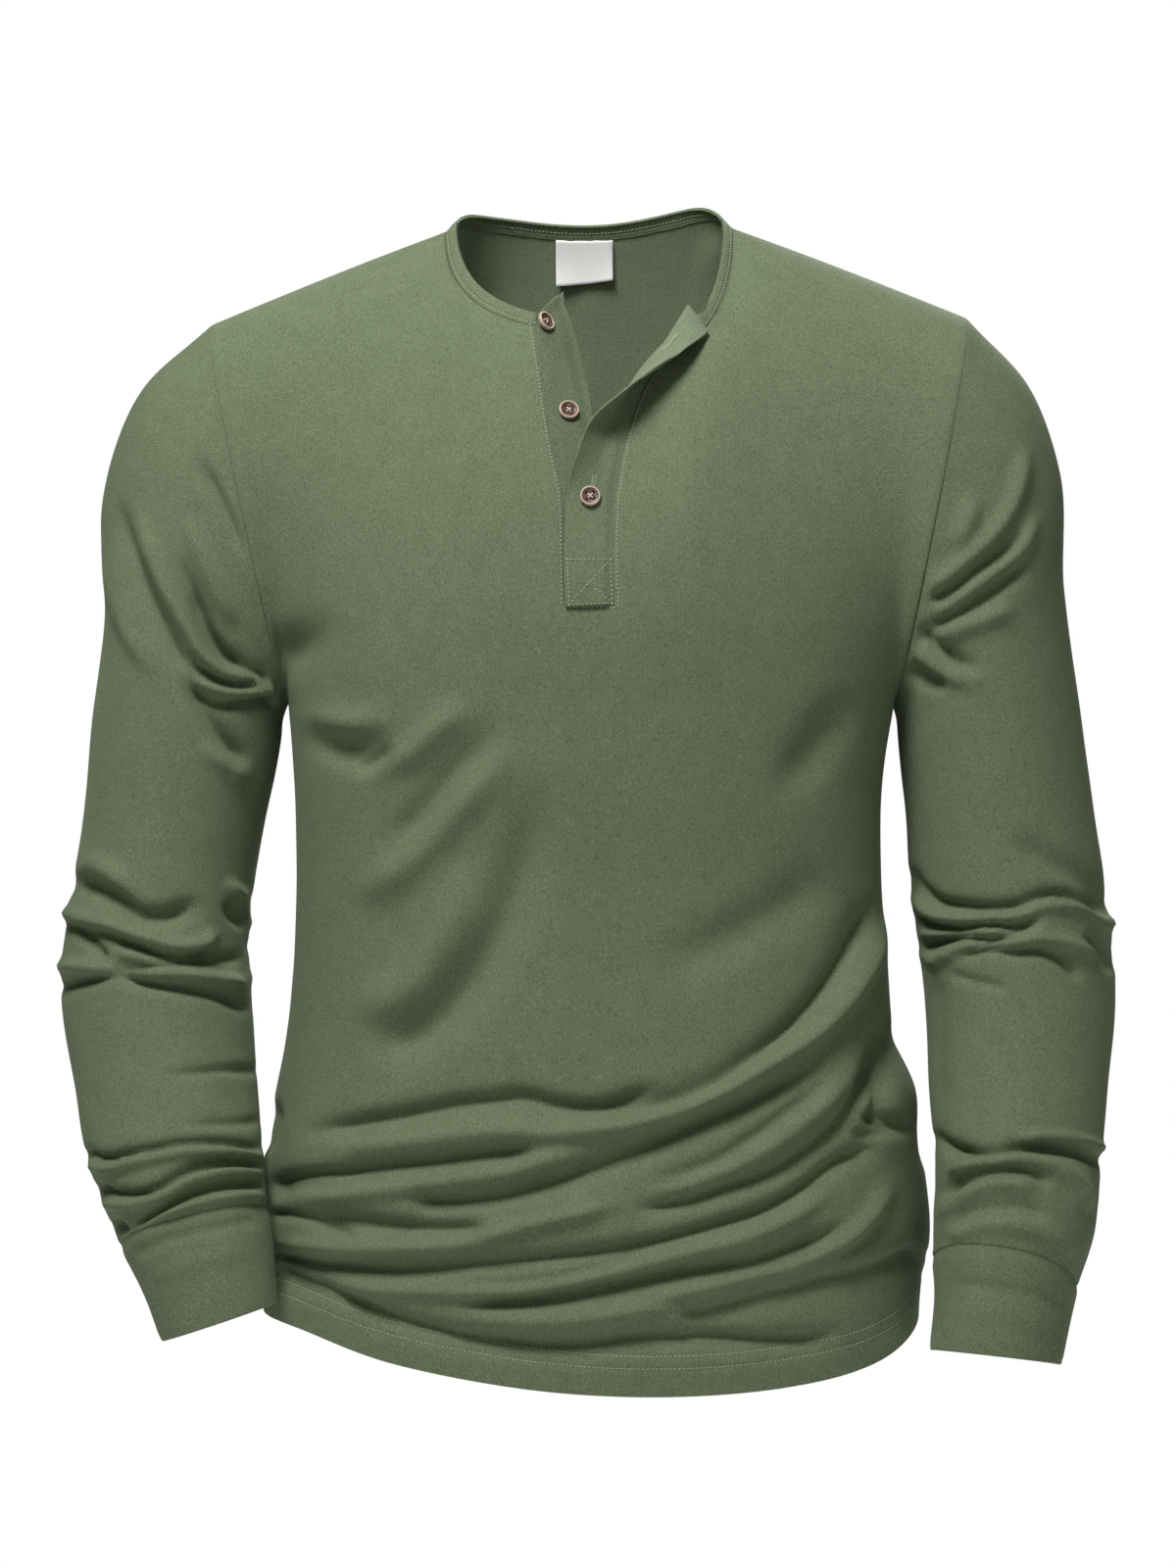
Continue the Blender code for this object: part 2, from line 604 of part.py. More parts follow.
def build_front():
    """Front panel, with the slot that the placket fills."""
    foot = level_at(PLACKET_FOOT_Z, -1)
    chest = np.linspace(foot, 2.0, CHEST_ROWS + 1)[1:]
    levels = np.concatenate([lower_levels(), np.linspace(1.0, foot, SLOT_FOOT_ROWS + 1)[1:], chest])
    slot_row = HEM_ROWS + WAIST_ROWS + SLOT_FOOT_ROWS
    seams = [(share_on_seam(SEAM_UNDER, max(level, foot)), share_on_seam(SEAM_OVER, max(level, foot)))
             for level in levels]
    shares = np.array([front_columns(left, right) for left, right in seams])
    points = evened(panel_rows(shares, levels, -1), shares)
    slot_left = SHOULDER_COLUMNS + NECK_COLUMNS
    slot_right = slot_left + SLOT_COLUMNS

    def keep(row, place):
        return row < slot_row or not slot_left <= place < slot_right

    rows, columns = shares.shape
    sheet = Sheet("front", points, grid_faces(rows, columns, keep=keep), CLOTH)
    side = ease((1 - np.abs(shares)) / SIDE_FADE)
    high = ease((2.0 - levels) / TOP_FADE)[:, None]
    folded(sheet, BODY_FOLDS, 1 - (side * high).ravel())
    grid = sheet.points.reshape(rows, columns, 3)
    normals = sheet.normals.reshape(rows, columns, 3)
    slot = {
        "under": (grid[slot_row:, slot_left].copy(), normals[slot_row:, slot_left].copy()),
        "over": (grid[slot_row:, slot_right].copy(), normals[slot_row:, slot_right].copy()),
    }
    edges = {
        "sides": (grid[HEM_ROWS + WAIST_ROWS:, 0].copy(), grid[HEM_ROWS + WAIST_ROWS:, -1].copy()),
        "neck_left": grid[-1, SHOULDER_COLUMNS:slot_left + 1].copy(),
        "neck_right": grid[-1, slot_right:slot_right + NECK_COLUMNS + 1].copy(),
    }
    return sheet, slot, edges


def build_back():
    """Back panel."""
    levels = np.concatenate([lower_levels(), np.linspace(1.0, 2.0, BACK_ROWS + 1)[1:]])
    row = np.concatenate([
        np.linspace(-1.0, -NECK_SHARE, SHOULDER_COLUMNS + 1)[:-1],
        np.linspace(-NECK_SHARE, NECK_SHARE, BACK_NECK_COLUMNS + 1)[:-1],
        np.linspace(NECK_SHARE, 1.0, SHOULDER_COLUMNS + 1),
    ])
    shares = np.array([row] * len(levels))
    points = evened(panel_rows(shares, levels, 1), shares)
    rows, columns = shares.shape
    sheet = Sheet("back", points, turned(grid_faces(rows, columns)), CLOTH)
    side = ease((1 - np.abs(shares)) / SIDE_FADE)
    high = ease((2.0 - levels) / TOP_FADE)[:, None]
    folded(sheet, BODY_FOLDS, 1 - (side * high).ravel())
    grid = sheet.points.reshape(rows, columns, 3)
    edges = {
        "sides": (grid[HEM_ROWS + WAIST_ROWS:, 0].copy(), grid[HEM_ROWS + WAIST_ROWS:, -1].copy()),
        "neck": grid[-1, SHOULDER_COLUMNS:SHOULDER_COLUMNS + BACK_NECK_COLUMNS + 1].copy(),
    }
    return sheet, edges


# Sleeves and cuffs

def section_ring(section, rise, depth_sign):
    """One ring of a sleeve: rise 0 is its inner edge and 1 its outer edge."""
    outer_x, outer_z, inner_x, inner_z, y, half_depth, arch = section
    outer = placed(outer_x, y, outer_z)
    inner = placed(inner_x, y, inner_z)
    bulge = np.sqrt(np.maximum(0.0, 1 - (2 * rise - 1) ** 2))
    ring = inner + (outer - inner) * rise[:, None]
    ring[:, 1] += depth_sign * half_depth * bulge
    ring[:, 2] += arch * bulge * (depth_sign < 0)
    return ring


def stations(sections):
    """Distance of each section along the sleeve's middle line."""
    middle = np.array([((row[0] + row[2]) / 2, (row[1] + row[3]) / 2) for row in sections])
    steps = np.hypot(*np.diff(middle, axis=0).T)
    return np.concatenate([[0.0], np.cumsum(steps)])


def build_sleeve(name, sections, folds, armhole):
    """Sleeve whose first ring is the armhole edge of the two panels."""
    knots = stations(sections)
    places = np.linspace(0.0, knots[-1], SLEEVE_ROWS + 1)
    table = smooth(knots, np.array(sections), places)
    top = armhole[:, 2].max()
    low = armhole[:, 2].min()
    rise = (armhole[:, 2] - low) / (top - low)
    sign = np.where(armhole[:, 1] < 0, -1.0, 1.0)
    rings = [armhole] + [section_ring(section, rise, sign) for section in table[1:]]
    count = len(armhole)
    faces = grid_faces(len(rings), count, closed=True)
    if sections[0][0] > 0:
        faces = turned(faces)
    sheet = Sheet(name, np.array(rings), faces, CLOTH)
    end = ease(places / SLEEVE_TOP_FADE) * ease((places[-1] - places) / SLEEVE_FOOT_FADE)
    folded(sheet, folds, np.repeat(1 - end, count))
    return sheet, rise, sign


def build_cuff(name, sections, rise, sign):
    """Cuff that carries on from the sleeve's last ring."""
    places = np.linspace(0.0, 1.0, CUFF_ROWS + 1)
    table = smooth(np.linspace(0.0, 1.0, len(sections)), np.array(sections), places)
    rings = [section_ring(section, rise, sign) for section in table]
    faces = grid_faces(len(rings), len(rise), closed=True)
    if sections[0][0] > 0:
        faces = turned(faces)
    return Sheet(name, np.array(rings), faces, CUFF)


# Neck, placket, buttons and label

def build_neckband(front_edges, back_edge):
    """Band that stands on the neckline from one placket strip round the back to the other."""
    base = np.concatenate([
        front_edges["neck_left"][::-1],
        back_edge[1:-1],
        front_edges["neck_right"][::-1],
    ])
    rise = BAND_RISE_FRONT + (BAND_RISE_BACK - BAND_RISE_FRONT) * ease(base[:, 1] / BAND_TURNS_OVER + 1)
    direction = unit(-base * LEVEL) * BAND_INWARD
    direction[:, 2] += rise
    upper = base + direction * BAND_WIDTH
    to_end = np.concatenate([np.cumsum(np.linalg.norm(np.diff(base, axis=0), axis=1)[::-1])[::-1], [0.0]])
    upper += ease(1 - to_end / BAND_SLANT)[:, None] * (placed(*np.array(BAND_END)) - upper[-1])
    upper[1:-1] += ((upper[:-2] + upper[2:]) / 2 - upper[1:-1]) / 2
    rows = [base + (upper - base) * share for share in BAND_ROWS]
    faces = turned(grid_faces(len(rows), len(base)))
    return Sheet("neckband", np.array(rows), faces, BINDING), (upper[0], upper[-1])


def strip_frame(edge, other_edge):
    """Direction from a placket seam towards the other one, square to the seam."""
    along = unit(np.gradient(edge, axis=0))
    nearest = np.minimum(np.arange(len(edge)), len(other_edge) - 1)
    across = other_edge[nearest] - edge
    return unit(across - np.sum(across * along, axis=1, keepdims=True) * along)


def lengthen(edge, normals, tip, shares):
    """Carry a placket seam on to the upper edge of the neckband, in as many rows as there are shares."""
    more = [edge[-1] + (tip - edge[-1]) * share for share in shares]
    return np.vstack([edge, more]), np.vstack([normals] + [normals[-1]] * len(more))


def read_turns(table, edge):
    """Heights of a strip's rows, and what its table says at them."""
    heights = elevation(edge)[1]
    return heights, smooth(column(table, 0), np.array([row[1:] for row in table]), heights)


def turning_strip(edge, normals, side, crease, bend, free_way):
    """Strip that leaves its seam sideways and points its free way after its crease."""
    distances = np.linspace(0.0, PLACKET_WIDTH, STRIP_COLUMNS + 1)
    middle = (distances[:-1] + distances[1:]) / 2
    turned_by = ease((middle[None, :] - crease[:, None]) / bend[:, None] + 0.5)[..., None]
    doubled = np.clip(-np.sum(side * free_way, axis=1), 0.0, 1.0)[:, None, None]
    way = side[:, None] * (1 - turned_by) + free_way[:, None] * turned_by
    way = unit(way + normals[:, None] * 4 * doubled * turned_by * (1 - turned_by))
    steps = np.cumsum(way * np.diff(distances)[None, :, None], axis=1)
    return distances, np.concatenate([edge[:, None], edge[:, None] + steps], axis=1)


def build_under(edge, normals, other_edge):
    """Strip with the buttons, whose top turns towards the inside."""
    side = strip_frame(edge, other_edge)
    heights, read = read_turns(TURN_UNDER, edge)
    turn = -np.radians(read[:, 0])
    free_way = side * np.cos(turn)[:, None] + normals * np.sin(turn)[:, None]
    distances, path = turning_strip(edge, normals, side, read[:, 1], read[:, 2], free_way)
    path -= normals[:, None] * (PLACKET_LIFT * ease((distances - SINK_AT) / SINK_OVER))[None, :, None]
    risen = UNDER_RISE * ease((heights - UNDER_RISE_AT) / UNDER_RISE_OVER)
    path[..., 2] += risen[:, None] * distances / PLACKET_WIDTH
    return Sheet("placket_under", path, grid_faces(len(edge), STRIP_COLUMNS + 1), PLACKET)


def build_over(edge, normals, other_edge):
    """Strip with the buttonholes, which lies on the other one and whose top turns out."""
    side = strip_frame(edge, other_edge)
    heights, read = read_turns(TURN_OVER, edge)
    known = ease((heights - FLAP_AT) / FLAP_OVER)[:, None]
    free_way = unit(side * (1 - known) + unit(read[:, 2:]) * known)
    distances, path = turning_strip(edge, normals, side, read[:, 0], read[:, 1], free_way)
    path += normals[:, None] * (PLACKET_LIFT * ease(distances / LIFT_OVER))[None, :, None]
    return Sheet("placket_over", path, turned(grid_faces(len(edge), STRIP_COLUMNS + 1)), PLACKET)


def build_placket(slot, band_ends):
    """The two placket strips; the one with buttonholes lies on the one with buttons."""
    edge, normals = lengthen(*slot["under"], band_ends[0], BAND_ROWS[-1:])
    other_edge, other_normals = lengthen(*slot["over"], band_ends[1], BAND_ROWS[1:])
    return build_under(edge, normals, other_edge), build_over(other_edge, other_normals, edge)


def wall_object(sheet, colour):
    """Closed wall between a sheet's points and the same points moved in by its thickness."""
    sheet.open_seams()
    inner = sheet.points - sheet.normals * sheet.wall
    count = len(sheet.points)
    faces = [tuple(face) for face in sheet.faces]
    faces += [tuple(int(point) + count for point in reversed(face)) for face in sheet.faces]
    faces += [(end, start, start + count, end + count) for start, end in sheet.rim()]
    used = sorted({int(point) for face in faces for point in face})
    number = {point: index for index, point in enumerate(used)}
    points = np.vstack([sheet.points, inner])[used]
    faces = [tuple(number[int(point)] for point in face) for face in faces]
    return make_object(sheet.name, points, faces, colour)


def button_object(name, centre, normal):
    """Turned button with a raised rim round a shallow dish."""
    helper = np.array([0.0, 0.0, 1.0])
    side = np.cross(helper, normal)
    side /= np.linalg.norm(side)
    up = np.cross(normal, side)
    points = [centre]
    for radius, height in BUTTON_PROFILE[:-1]:
        for step in range(BUTTON_SIDES):
            angle = 2 * math.pi * step / BUTTON_SIDES
            spoke = side * math.cos(angle) + up * math.sin(angle)
            points.append(centre + spoke * radius + normal * height)
    points.append(centre + normal * BUTTON_PROFILE[-1][1])
    last = len(points) - 1
    faces = []
    for step in range(BUTTON_SIDES):
        after = (step + 1) % BUTTON_SIDES
        faces.append((0, 1 + after, 1 + step))
        for ring in range(len(BUTTON_PROFILE) - 2):
            low = 1 + ring * BUTTON_SIDES
            high = low + BUTTON_SIDES
            faces.append((low + step, low + after, high + after, high + step))
        top = 1 + (len(BUTTON_PROFILE) - 2) * BUTTON_SIDES
        faces.append((top + step, top + after, last))
    return make_object(name, np.array(points), faces, PLUM_BROWN)


def make_object(name, points, faces, colour):
    """Blender object for one piece, in metres, with its own material."""
    mesh = bpy.data.meshes.new(name)
    mesh.from_pydata((points * MILLIMETRE).tolist(), [], faces)
    mesh.update()
    mesh.shade_smooth()
    mesh.set_sharp_from_angle(angle=math.radians(SHARP_EDGE))
    material = bpy.data.materials.new(name)
    material.use_nodes = True
    shader = material.node_tree.nodes["Principled BSDF"]
    shader.inputs["Base Color"].default_value = colour
    shader.inputs["Roughness"].default_value = 0.9
    shader.inputs["Metallic"].default_value = 0.0
    mesh.materials.append(material)
    piece = bpy.data.objects.new(name, mesh)
    bpy.context.scene.collection.objects.link(piece)
    return piece


def nearest_on(sheet, x, z):
    """Point and normal of a sheet nearest to a place in the front elevation."""
    seen_x, seen_z = elevation(sheet.points)
    distance = np.hypot(seen_x - x, seen_z - z)
    order = np.argsort(distance)[:NEAREST]
    weights = 1.0 / (1.0 + distance[order])
    weights /= weights.sum()
    point = (sheet.points[order] * weights[:, None]).sum(axis=0)
    normal = (sheet.normals[order] * weights[:, None]).sum(axis=0)
    return point, normal / np.linalg.norm(normal)


def on_grid(grid, row, place):
    """Point of a grid at a row and a column that may lie between its lines."""
    low, left = int(row), int(place)
    up, right = row - low, place - left
    below = grid[low, left] * (1 - right) + grid[low, left + 1] * right
    above = grid[low + 1, left] * (1 - right) + grid[low + 1, left + 1] * right
    return below * (1 - up) + above * up


def build_label(back):
    """Label that hangs from the neck seam, on the inside of the back."""
    columns = 2 * SHOULDER_COLUMNS + BACK_NECK_COLUMNS + 1
    grid = back.points.reshape(-1, columns, 3)
    normals = back.normals.reshape(-1, columns, 3)
    seen_x, seen_z = elevation(grid)
    numbers = np.arange(len(grid))
    last_but = len(grid) - 1 - NEARLY
    middle = seen_z[:, columns // 2]
    level = int(np.interp(LABEL_LOW_LEFT, middle, numbers))
    inside = CLOTH + LABEL_GAP + LABEL
    points = []
    for down in np.linspace(1.0, 0.0, LABEL_CELLS + 1):
        row_points = []
        for across in np.linspace(0.0, 1.0, LABEL_CELLS + 1):
            low = LABEL_LOW_LEFT + (LABEL_LOW_RIGHT - LABEL_LOW_LEFT) * across
            row = min(float(np.interp(LABEL_TOP + (low - LABEL_TOP) * down, middle, numbers)), last_but)
            x = LABEL_LEFT + (LABEL_RIGHT - LABEL_LEFT) * across
            place = float(np.interp(x, seen_x[level], np.arange(columns)))
            row_points.append(on_grid(grid, row, place) - on_grid(normals, row, place) * inside)
        points.append(row_points)
    return Sheet("neck_label", points, grid_faces(LABEL_CELLS + 1, LABEL_CELLS + 1), LABEL)


def main():
    """Make every piece of the shirt."""
    for old in list(bpy.data.objects):
        bpy.data.objects.remove(old, do_unlink=True)

    front, slot, front_edges = build_front()
    back, back_edges = build_back()
    sheets = [front, back]
    sides = (("left", SLEEVE_LEFT, SLEEVE_LEFT_FOLDS, CUFF_LEFT, 0),
             ("right", SLEEVE_RIGHT, SLEEVE_RIGHT_FOLDS, CUFF_RIGHT, 1))
    for side, sections, folds, cuff_sections, number in sides:
        armhole = np.concatenate([front_edges["sides"][number], back_edges["sides"][number][-2:0:-1]])
        sleeve, rise, sign = build_sleeve("sleeve_" + side, sections, folds, armhole)
        sheets += [sleeve, build_cuff("cuff_" + side, cuff_sections, rise, sign)]
    band, band_ends = build_neckband(front_edges, back_edges["neck"])
    under, over = build_placket(slot, band_ends)
    sheets += [band, under, over]
    share_normals(sheets)
    strips = {"placket_under": under, "placket_over": over}
    for name, strip, x, z, stand in BUTTONS:
        point, normal = nearest_on(strips[strip], x, z)
        button_object(name, point + normal * stand, normal)
    label = build_label(back)
    for sheet in sheets:
        wall_object(sheet, OLIVE_LIGHT if sheet is over else OLIVE)
    wall_object(label, WHITE)


main()
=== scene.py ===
"""Looks of a long-sleeved henley shirt in olive jersey, filled out as if worn, with nobody in it.

Lengths are in millimetres until a mesh is made, which is in metres. +X is towards the figure's
left sleeve, -Y is the front and +Z is up, and the origin lies between the high shoulder points.
Places written as (x, z) belong to a front elevation: what is seen from VIEW_DISTANCE in front of
the shirt at the height VIEW_HEIGHT. placed() turns them into real places.
"""

import json
import logging
import math
from dataclasses import asdict, dataclass, field
from enum import Enum
from typing import Callable, Iterable, Optional, Sequence

import bpy
import numpy as np
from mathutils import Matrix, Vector

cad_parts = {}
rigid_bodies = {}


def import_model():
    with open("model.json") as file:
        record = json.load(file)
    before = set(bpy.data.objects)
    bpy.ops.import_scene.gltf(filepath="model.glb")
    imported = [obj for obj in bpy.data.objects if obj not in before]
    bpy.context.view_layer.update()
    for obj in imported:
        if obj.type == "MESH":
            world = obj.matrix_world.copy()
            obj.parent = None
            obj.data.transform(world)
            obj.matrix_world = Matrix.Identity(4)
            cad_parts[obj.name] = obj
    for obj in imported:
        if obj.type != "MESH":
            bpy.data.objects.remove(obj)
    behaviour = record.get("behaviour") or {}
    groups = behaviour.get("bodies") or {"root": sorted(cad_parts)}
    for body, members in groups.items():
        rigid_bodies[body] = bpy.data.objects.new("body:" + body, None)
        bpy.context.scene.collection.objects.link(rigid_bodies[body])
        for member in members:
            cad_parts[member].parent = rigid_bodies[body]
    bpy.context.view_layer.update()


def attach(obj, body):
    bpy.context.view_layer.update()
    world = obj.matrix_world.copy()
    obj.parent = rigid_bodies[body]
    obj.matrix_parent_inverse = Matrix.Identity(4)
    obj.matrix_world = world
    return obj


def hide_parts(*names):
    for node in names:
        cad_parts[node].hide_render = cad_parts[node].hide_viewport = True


log = logging.getLogger("henley")

MILLIMETRE = 0.001
VIEW_DISTANCE = 2550.0
VIEW_HEIGHT = -348.0
BODY = "root"

Table = Sequence[Sequence[float]]
Point = tuple[float, float]
Line = tuple[np.ndarray, np.ndarray]        # points and the directions out of the cloth


class Face(Enum):
    """Side of the garment that a fold lies on."""

    FRONT = -1
    BACK = 1


class Side(Enum):
    """Side of the garment as seen from in front."""

    LEFT = "left"
    RIGHT = "right"


class Slot(Enum):
    """Material slots of the record."""

    JERSEY = "jersey"
    BUTTON = "button"
    LABEL = "label"


# Curves, tables and the front elevation

def smooth(knots: Sequence[float], values: Sequence, at: np.ndarray) -> np.ndarray:
    """Read a smooth curve through values at knots.

    Args:
        knots: places of the values, rising.
        values: a number or a row of numbers for each knot.
        at: places to read.

    Returns:
        The curve's values at those places.
    """
    knots = np.asarray(knots, dtype=float)
    values = np.asarray(values, dtype=float)
    slopes = np.gradient(values, knots, axis=0)
    at = np.clip(at, knots[0], knots[-1])
    left = np.clip(np.searchsorted(knots, at, side="right") - 1, 0, len(knots) - 2)
    span = knots[left + 1] - knots[left]
    u = (at - knots[left]) / span
    if values.ndim > 1:
        u = u[..., None]
        span = span[..., None]
    start = (1 + 2 * u) * (1 - u) ** 2 * values[left] + u * (1 - u) ** 2 * span * slopes[left]
    end = u * u * (3 - 2 * u) * values[left + 1] + u * u * (u - 1) * span * slopes[left + 1]
    return start + end


def column(table: Table, index: int) -> np.ndarray:
    """One named column of a table, in the order of its rows."""
    return np.array([row[index] for row in table], dtype=float)


def read(table: Table, at: np.ndarray, index: int = 1) -> np.ndarray:
    """A column of a table as a smooth curve, read at places of its first column."""
    return smooth(column(table, 0), column(table, index), at)


def ease(value: np.ndarray) -> np.ndarray:
    """Rise smoothly from 0 to 1 as the value does."""
    value = np.clip(value, 0.0, 1.0)
    return value * value * (3 - 2 * value)


def placed(x: np.ndarray, y: np.ndarray, z: np.ndarray) -> np.ndarray:
    """Real place of what the front elevation shows at (x, z) and lies at the depth y."""
    scale = (VIEW_DISTANCE + y) / VIEW_DISTANCE
    height = VIEW_HEIGHT + (z - VIEW_HEIGHT) * scale
    return np.stack(np.broadcast_arrays(x * scale, y, height), axis=-1)


def elevation(points: np.ndarray) -> np.ndarray:
    """Where the front elevation shows real points, as (x, z) along the last axis."""
    scale = VIEW_DISTANCE / (VIEW_DISTANCE + points[..., 1])
    height = VIEW_HEIGHT + (points[..., 2] - VIEW_HEIGHT) * scale
    return np.stack([points[..., 0] * scale, height], axis=-1)


def round_depth(across: np.ndarray, exponent: float) -> np.ndarray:
    """Depth of a unit superellipse at a place from -1 to 1 across it."""
    return np.maximum(0.0, 1.0 - np.abs(across) ** exponent) ** (1.0 / exponent)


def unit(vectors: np.ndarray) -> np.ndarray:
    """Vectors of length 1 with the directions of those given."""
    return vectors / np.maximum(np.linalg.norm(vectors, axis=-1, keepdims=True), 1e-9)


def running_length(points: np.ndarray, axis: int) -> np.ndarray:
    """Distance run along one axis of a grid of points, from 0 at its start."""
    steps = np.linalg.norm(np.diff(points, axis=axis), axis=-1)
    start = np.zeros_like(np.take(steps, [0], axis=axis))
    return np.concatenate([start, np.cumsum(steps, axis=axis)], axis=axis)


def spaced(start: float, stop: float, count: int,
           fine_start: bool = False, fine_stop: bool = False) -> np.ndarray:
    """Even places with two more close to an end that is an edge of cloth.

    Args:
        start: first place.
        stop: last place.
        count: number of even steps.
        fine_start: add places close to the start.
        fine_stop: add places close to the stop.

    Returns:
        The places, rising from start to stop.
    """
    even = np.linspace(start, stop, count + 1)
    step = even[1] - even[0]
    extra = [even]
    if fine_start:
        extra.append(start + step * np.array(EDGE_SHARES))
    if fine_stop:
        extra.append(stop - step * np.array(EDGE_SHARES))
    return np.sort(np.concatenate(extra))


EDGE_SHARES = (0.22, 0.55)          # of the first even step, where a sheet is fine at its edge


# Folds

@dataclass(frozen=True)
class Fold:
    """A soft ridge along a path, or a trough where its height is negative.

    Attributes:
        height: how far it stands out.
        width: half width of its cross section.
        lean: how much wider its left flank is than its right one, walking along the path.
        fade_in: length over which it rises.
        fade_out: length over which it dies away.
        crest: exponent of its cross section; 2 is soft and 1.2 has a sharp crease.
        path: its route in the front elevation, a point a row.
    """

    height: float
    width: float
    lean: float
    fade_in: float
    fade_out: float
    crest: float
    path: np.ndarray

    STEP = 2.5                      # between the points of its line
    REACH = 3.2                     # in widths, beyond which nothing of it is left
    NAMED = 6                       # columns of its row in a table, before the path

    @classmethod
    def read(cls, row: Sequence[float]) -> "Fold":
        """Fold from a row of a table: its six sizes, then x and z of each point of the path."""
        return cls(*row[:cls.NAMED], np.reshape(row[cls.NAMED:], (-1, 2)).astype(float))

    def line(self) -> tuple[np.ndarray, np.ndarray]:
        """Route of the fold in even steps.

        Returns:
            The points of the route and their distances from its start.
        """
        reach = running_length(self.path, 0)
        count = max(4, int(reach[-1] / self.STEP))
        line = smooth(reach, self.path, np.linspace(0.0, reach[-1], count))
        return line, running_length(line, 0)

    def shape(self, seen: np.ndarray, fineness: float) -> np.ndarray:
        """How far the fold stands out at places of the front elevation.

        Args:
            seen: places near the fold, as (x, z).
            fineness: share of its width that it has.

        Returns:
            The offset of each place.
        """
        line, reach = self.line()
        gaps = seen[:, None, :] - line[None, :, :]
        nearest = np.argmin(np.sum(gaps * gaps, axis=-1), axis=1)
        away = gaps[np.arange(len(seen)), nearest]
        tangent = unit(np.gradient(line, axis=0))[nearest]
        along = reach[nearest] + np.sum(away * tangent, axis=-1)
        across = tangent[:, 0] * away[:, 1] - tangent[:, 1] * away[:, 0]
        width = fineness * self.width * np.where(across > 0, 1 + self.lean, 1 - self.lean)
        strength = ease(along / self.fade_in) * ease((reach[-1] - along) / self.fade_out)
        return self.height * strength * np.exp(-(np.abs(across) / width) ** self.crest)

    def offset(self, seen: np.ndarray, fineness: float) -> np.ndarray:
        """The same for all places, near or far."""
        line, _ = self.line()
        margin = self.REACH * self.width * (1 + abs(self.lean))
        low, high = line.min(axis=0) - margin, line.max(axis=0) + margin
        near = np.flatnonzero(np.all((seen > low) & (seen < high), axis=-1))
        moved = np.zeros(len(seen))
        if len(near):
            moved[near] = self.shape(seen[near], fineness)
        return moved


@dataclass
class FoldField:
    """All the folds of one part of the garment, on both of its faces.

    Attributes:
        front: table of the folds seen from in front.
        back: table of the folds seen from behind, in the same elevation.
        turn: how far round the edge, as a normal's depth, a face's folds go on.
        strength: how much higher and deeper they all are than they say.
        behind: share of that strength on the back.
        fineness: share of their widths that they have.
        edge_share: how much of them is left where the cloth turns away to the side.
        facing: depth of a normal from which a face has its folds whole.
        turn_band: depth of normals over which a face's folds end.
    """

    front: Table
    back: Table = ()
    turn: float = 0.35
    strength: float = 1.4
    behind: float = 0.75
    fineness: float = 0.68
    edge_share: float = 0.25
    facing: float = 0.6
    turn_band: float = 0.15

    def offset(self, points: np.ndarray, normals: np.ndarray) -> np.ndarray:
        """How far out the folds move each point along its normal."""
        seen = elevation(points)
        moved = ripple(points)
        faced = ease(np.abs(normals[:, 1]) / self.facing)
        edge = self.edge_share + (1 - self.edge_share) * faced
        for face, folds in ((Face.FRONT, self.front), (Face.BACK, self.back)):
            toward = ease((face.value * normals[:, 1] + self.turn) / (self.turn + self.turn_band))
            shown = np.flatnonzero(toward > 0)
            total = np.zeros(len(shown))
            for row in folds:
                total += Fold.read(row).offset(seen[shown], self.fineness)
            strength = self.strength if face is Face.FRONT else self.strength * self.behind
            moved[shown] += strength * total * toward[shown] * edge[shown]
        return moved


def ripple(points: np.ndarray) -> np.ndarray:
    """Faint unevenness that limp cloth has everywhere."""
    x, y, z = points.T
    slow = np.sin(x / 41.0 + z / 63.0 + 0.7) * np.sin(z / 37.0 - x / 71.0 + y / 50.0)
    quick = np.sin(x / 15.0 - z / 21.0 + 1.9) * np.sin(z / 13.0 + x / 31.0 + y / 17.0)
    return RIPPLE_SLOW * slow + RIPPLE_QUICK * quick


RIPPLE_SLOW = 0.55
RIPPLE_QUICK = 0.12


# Sheets of cloth

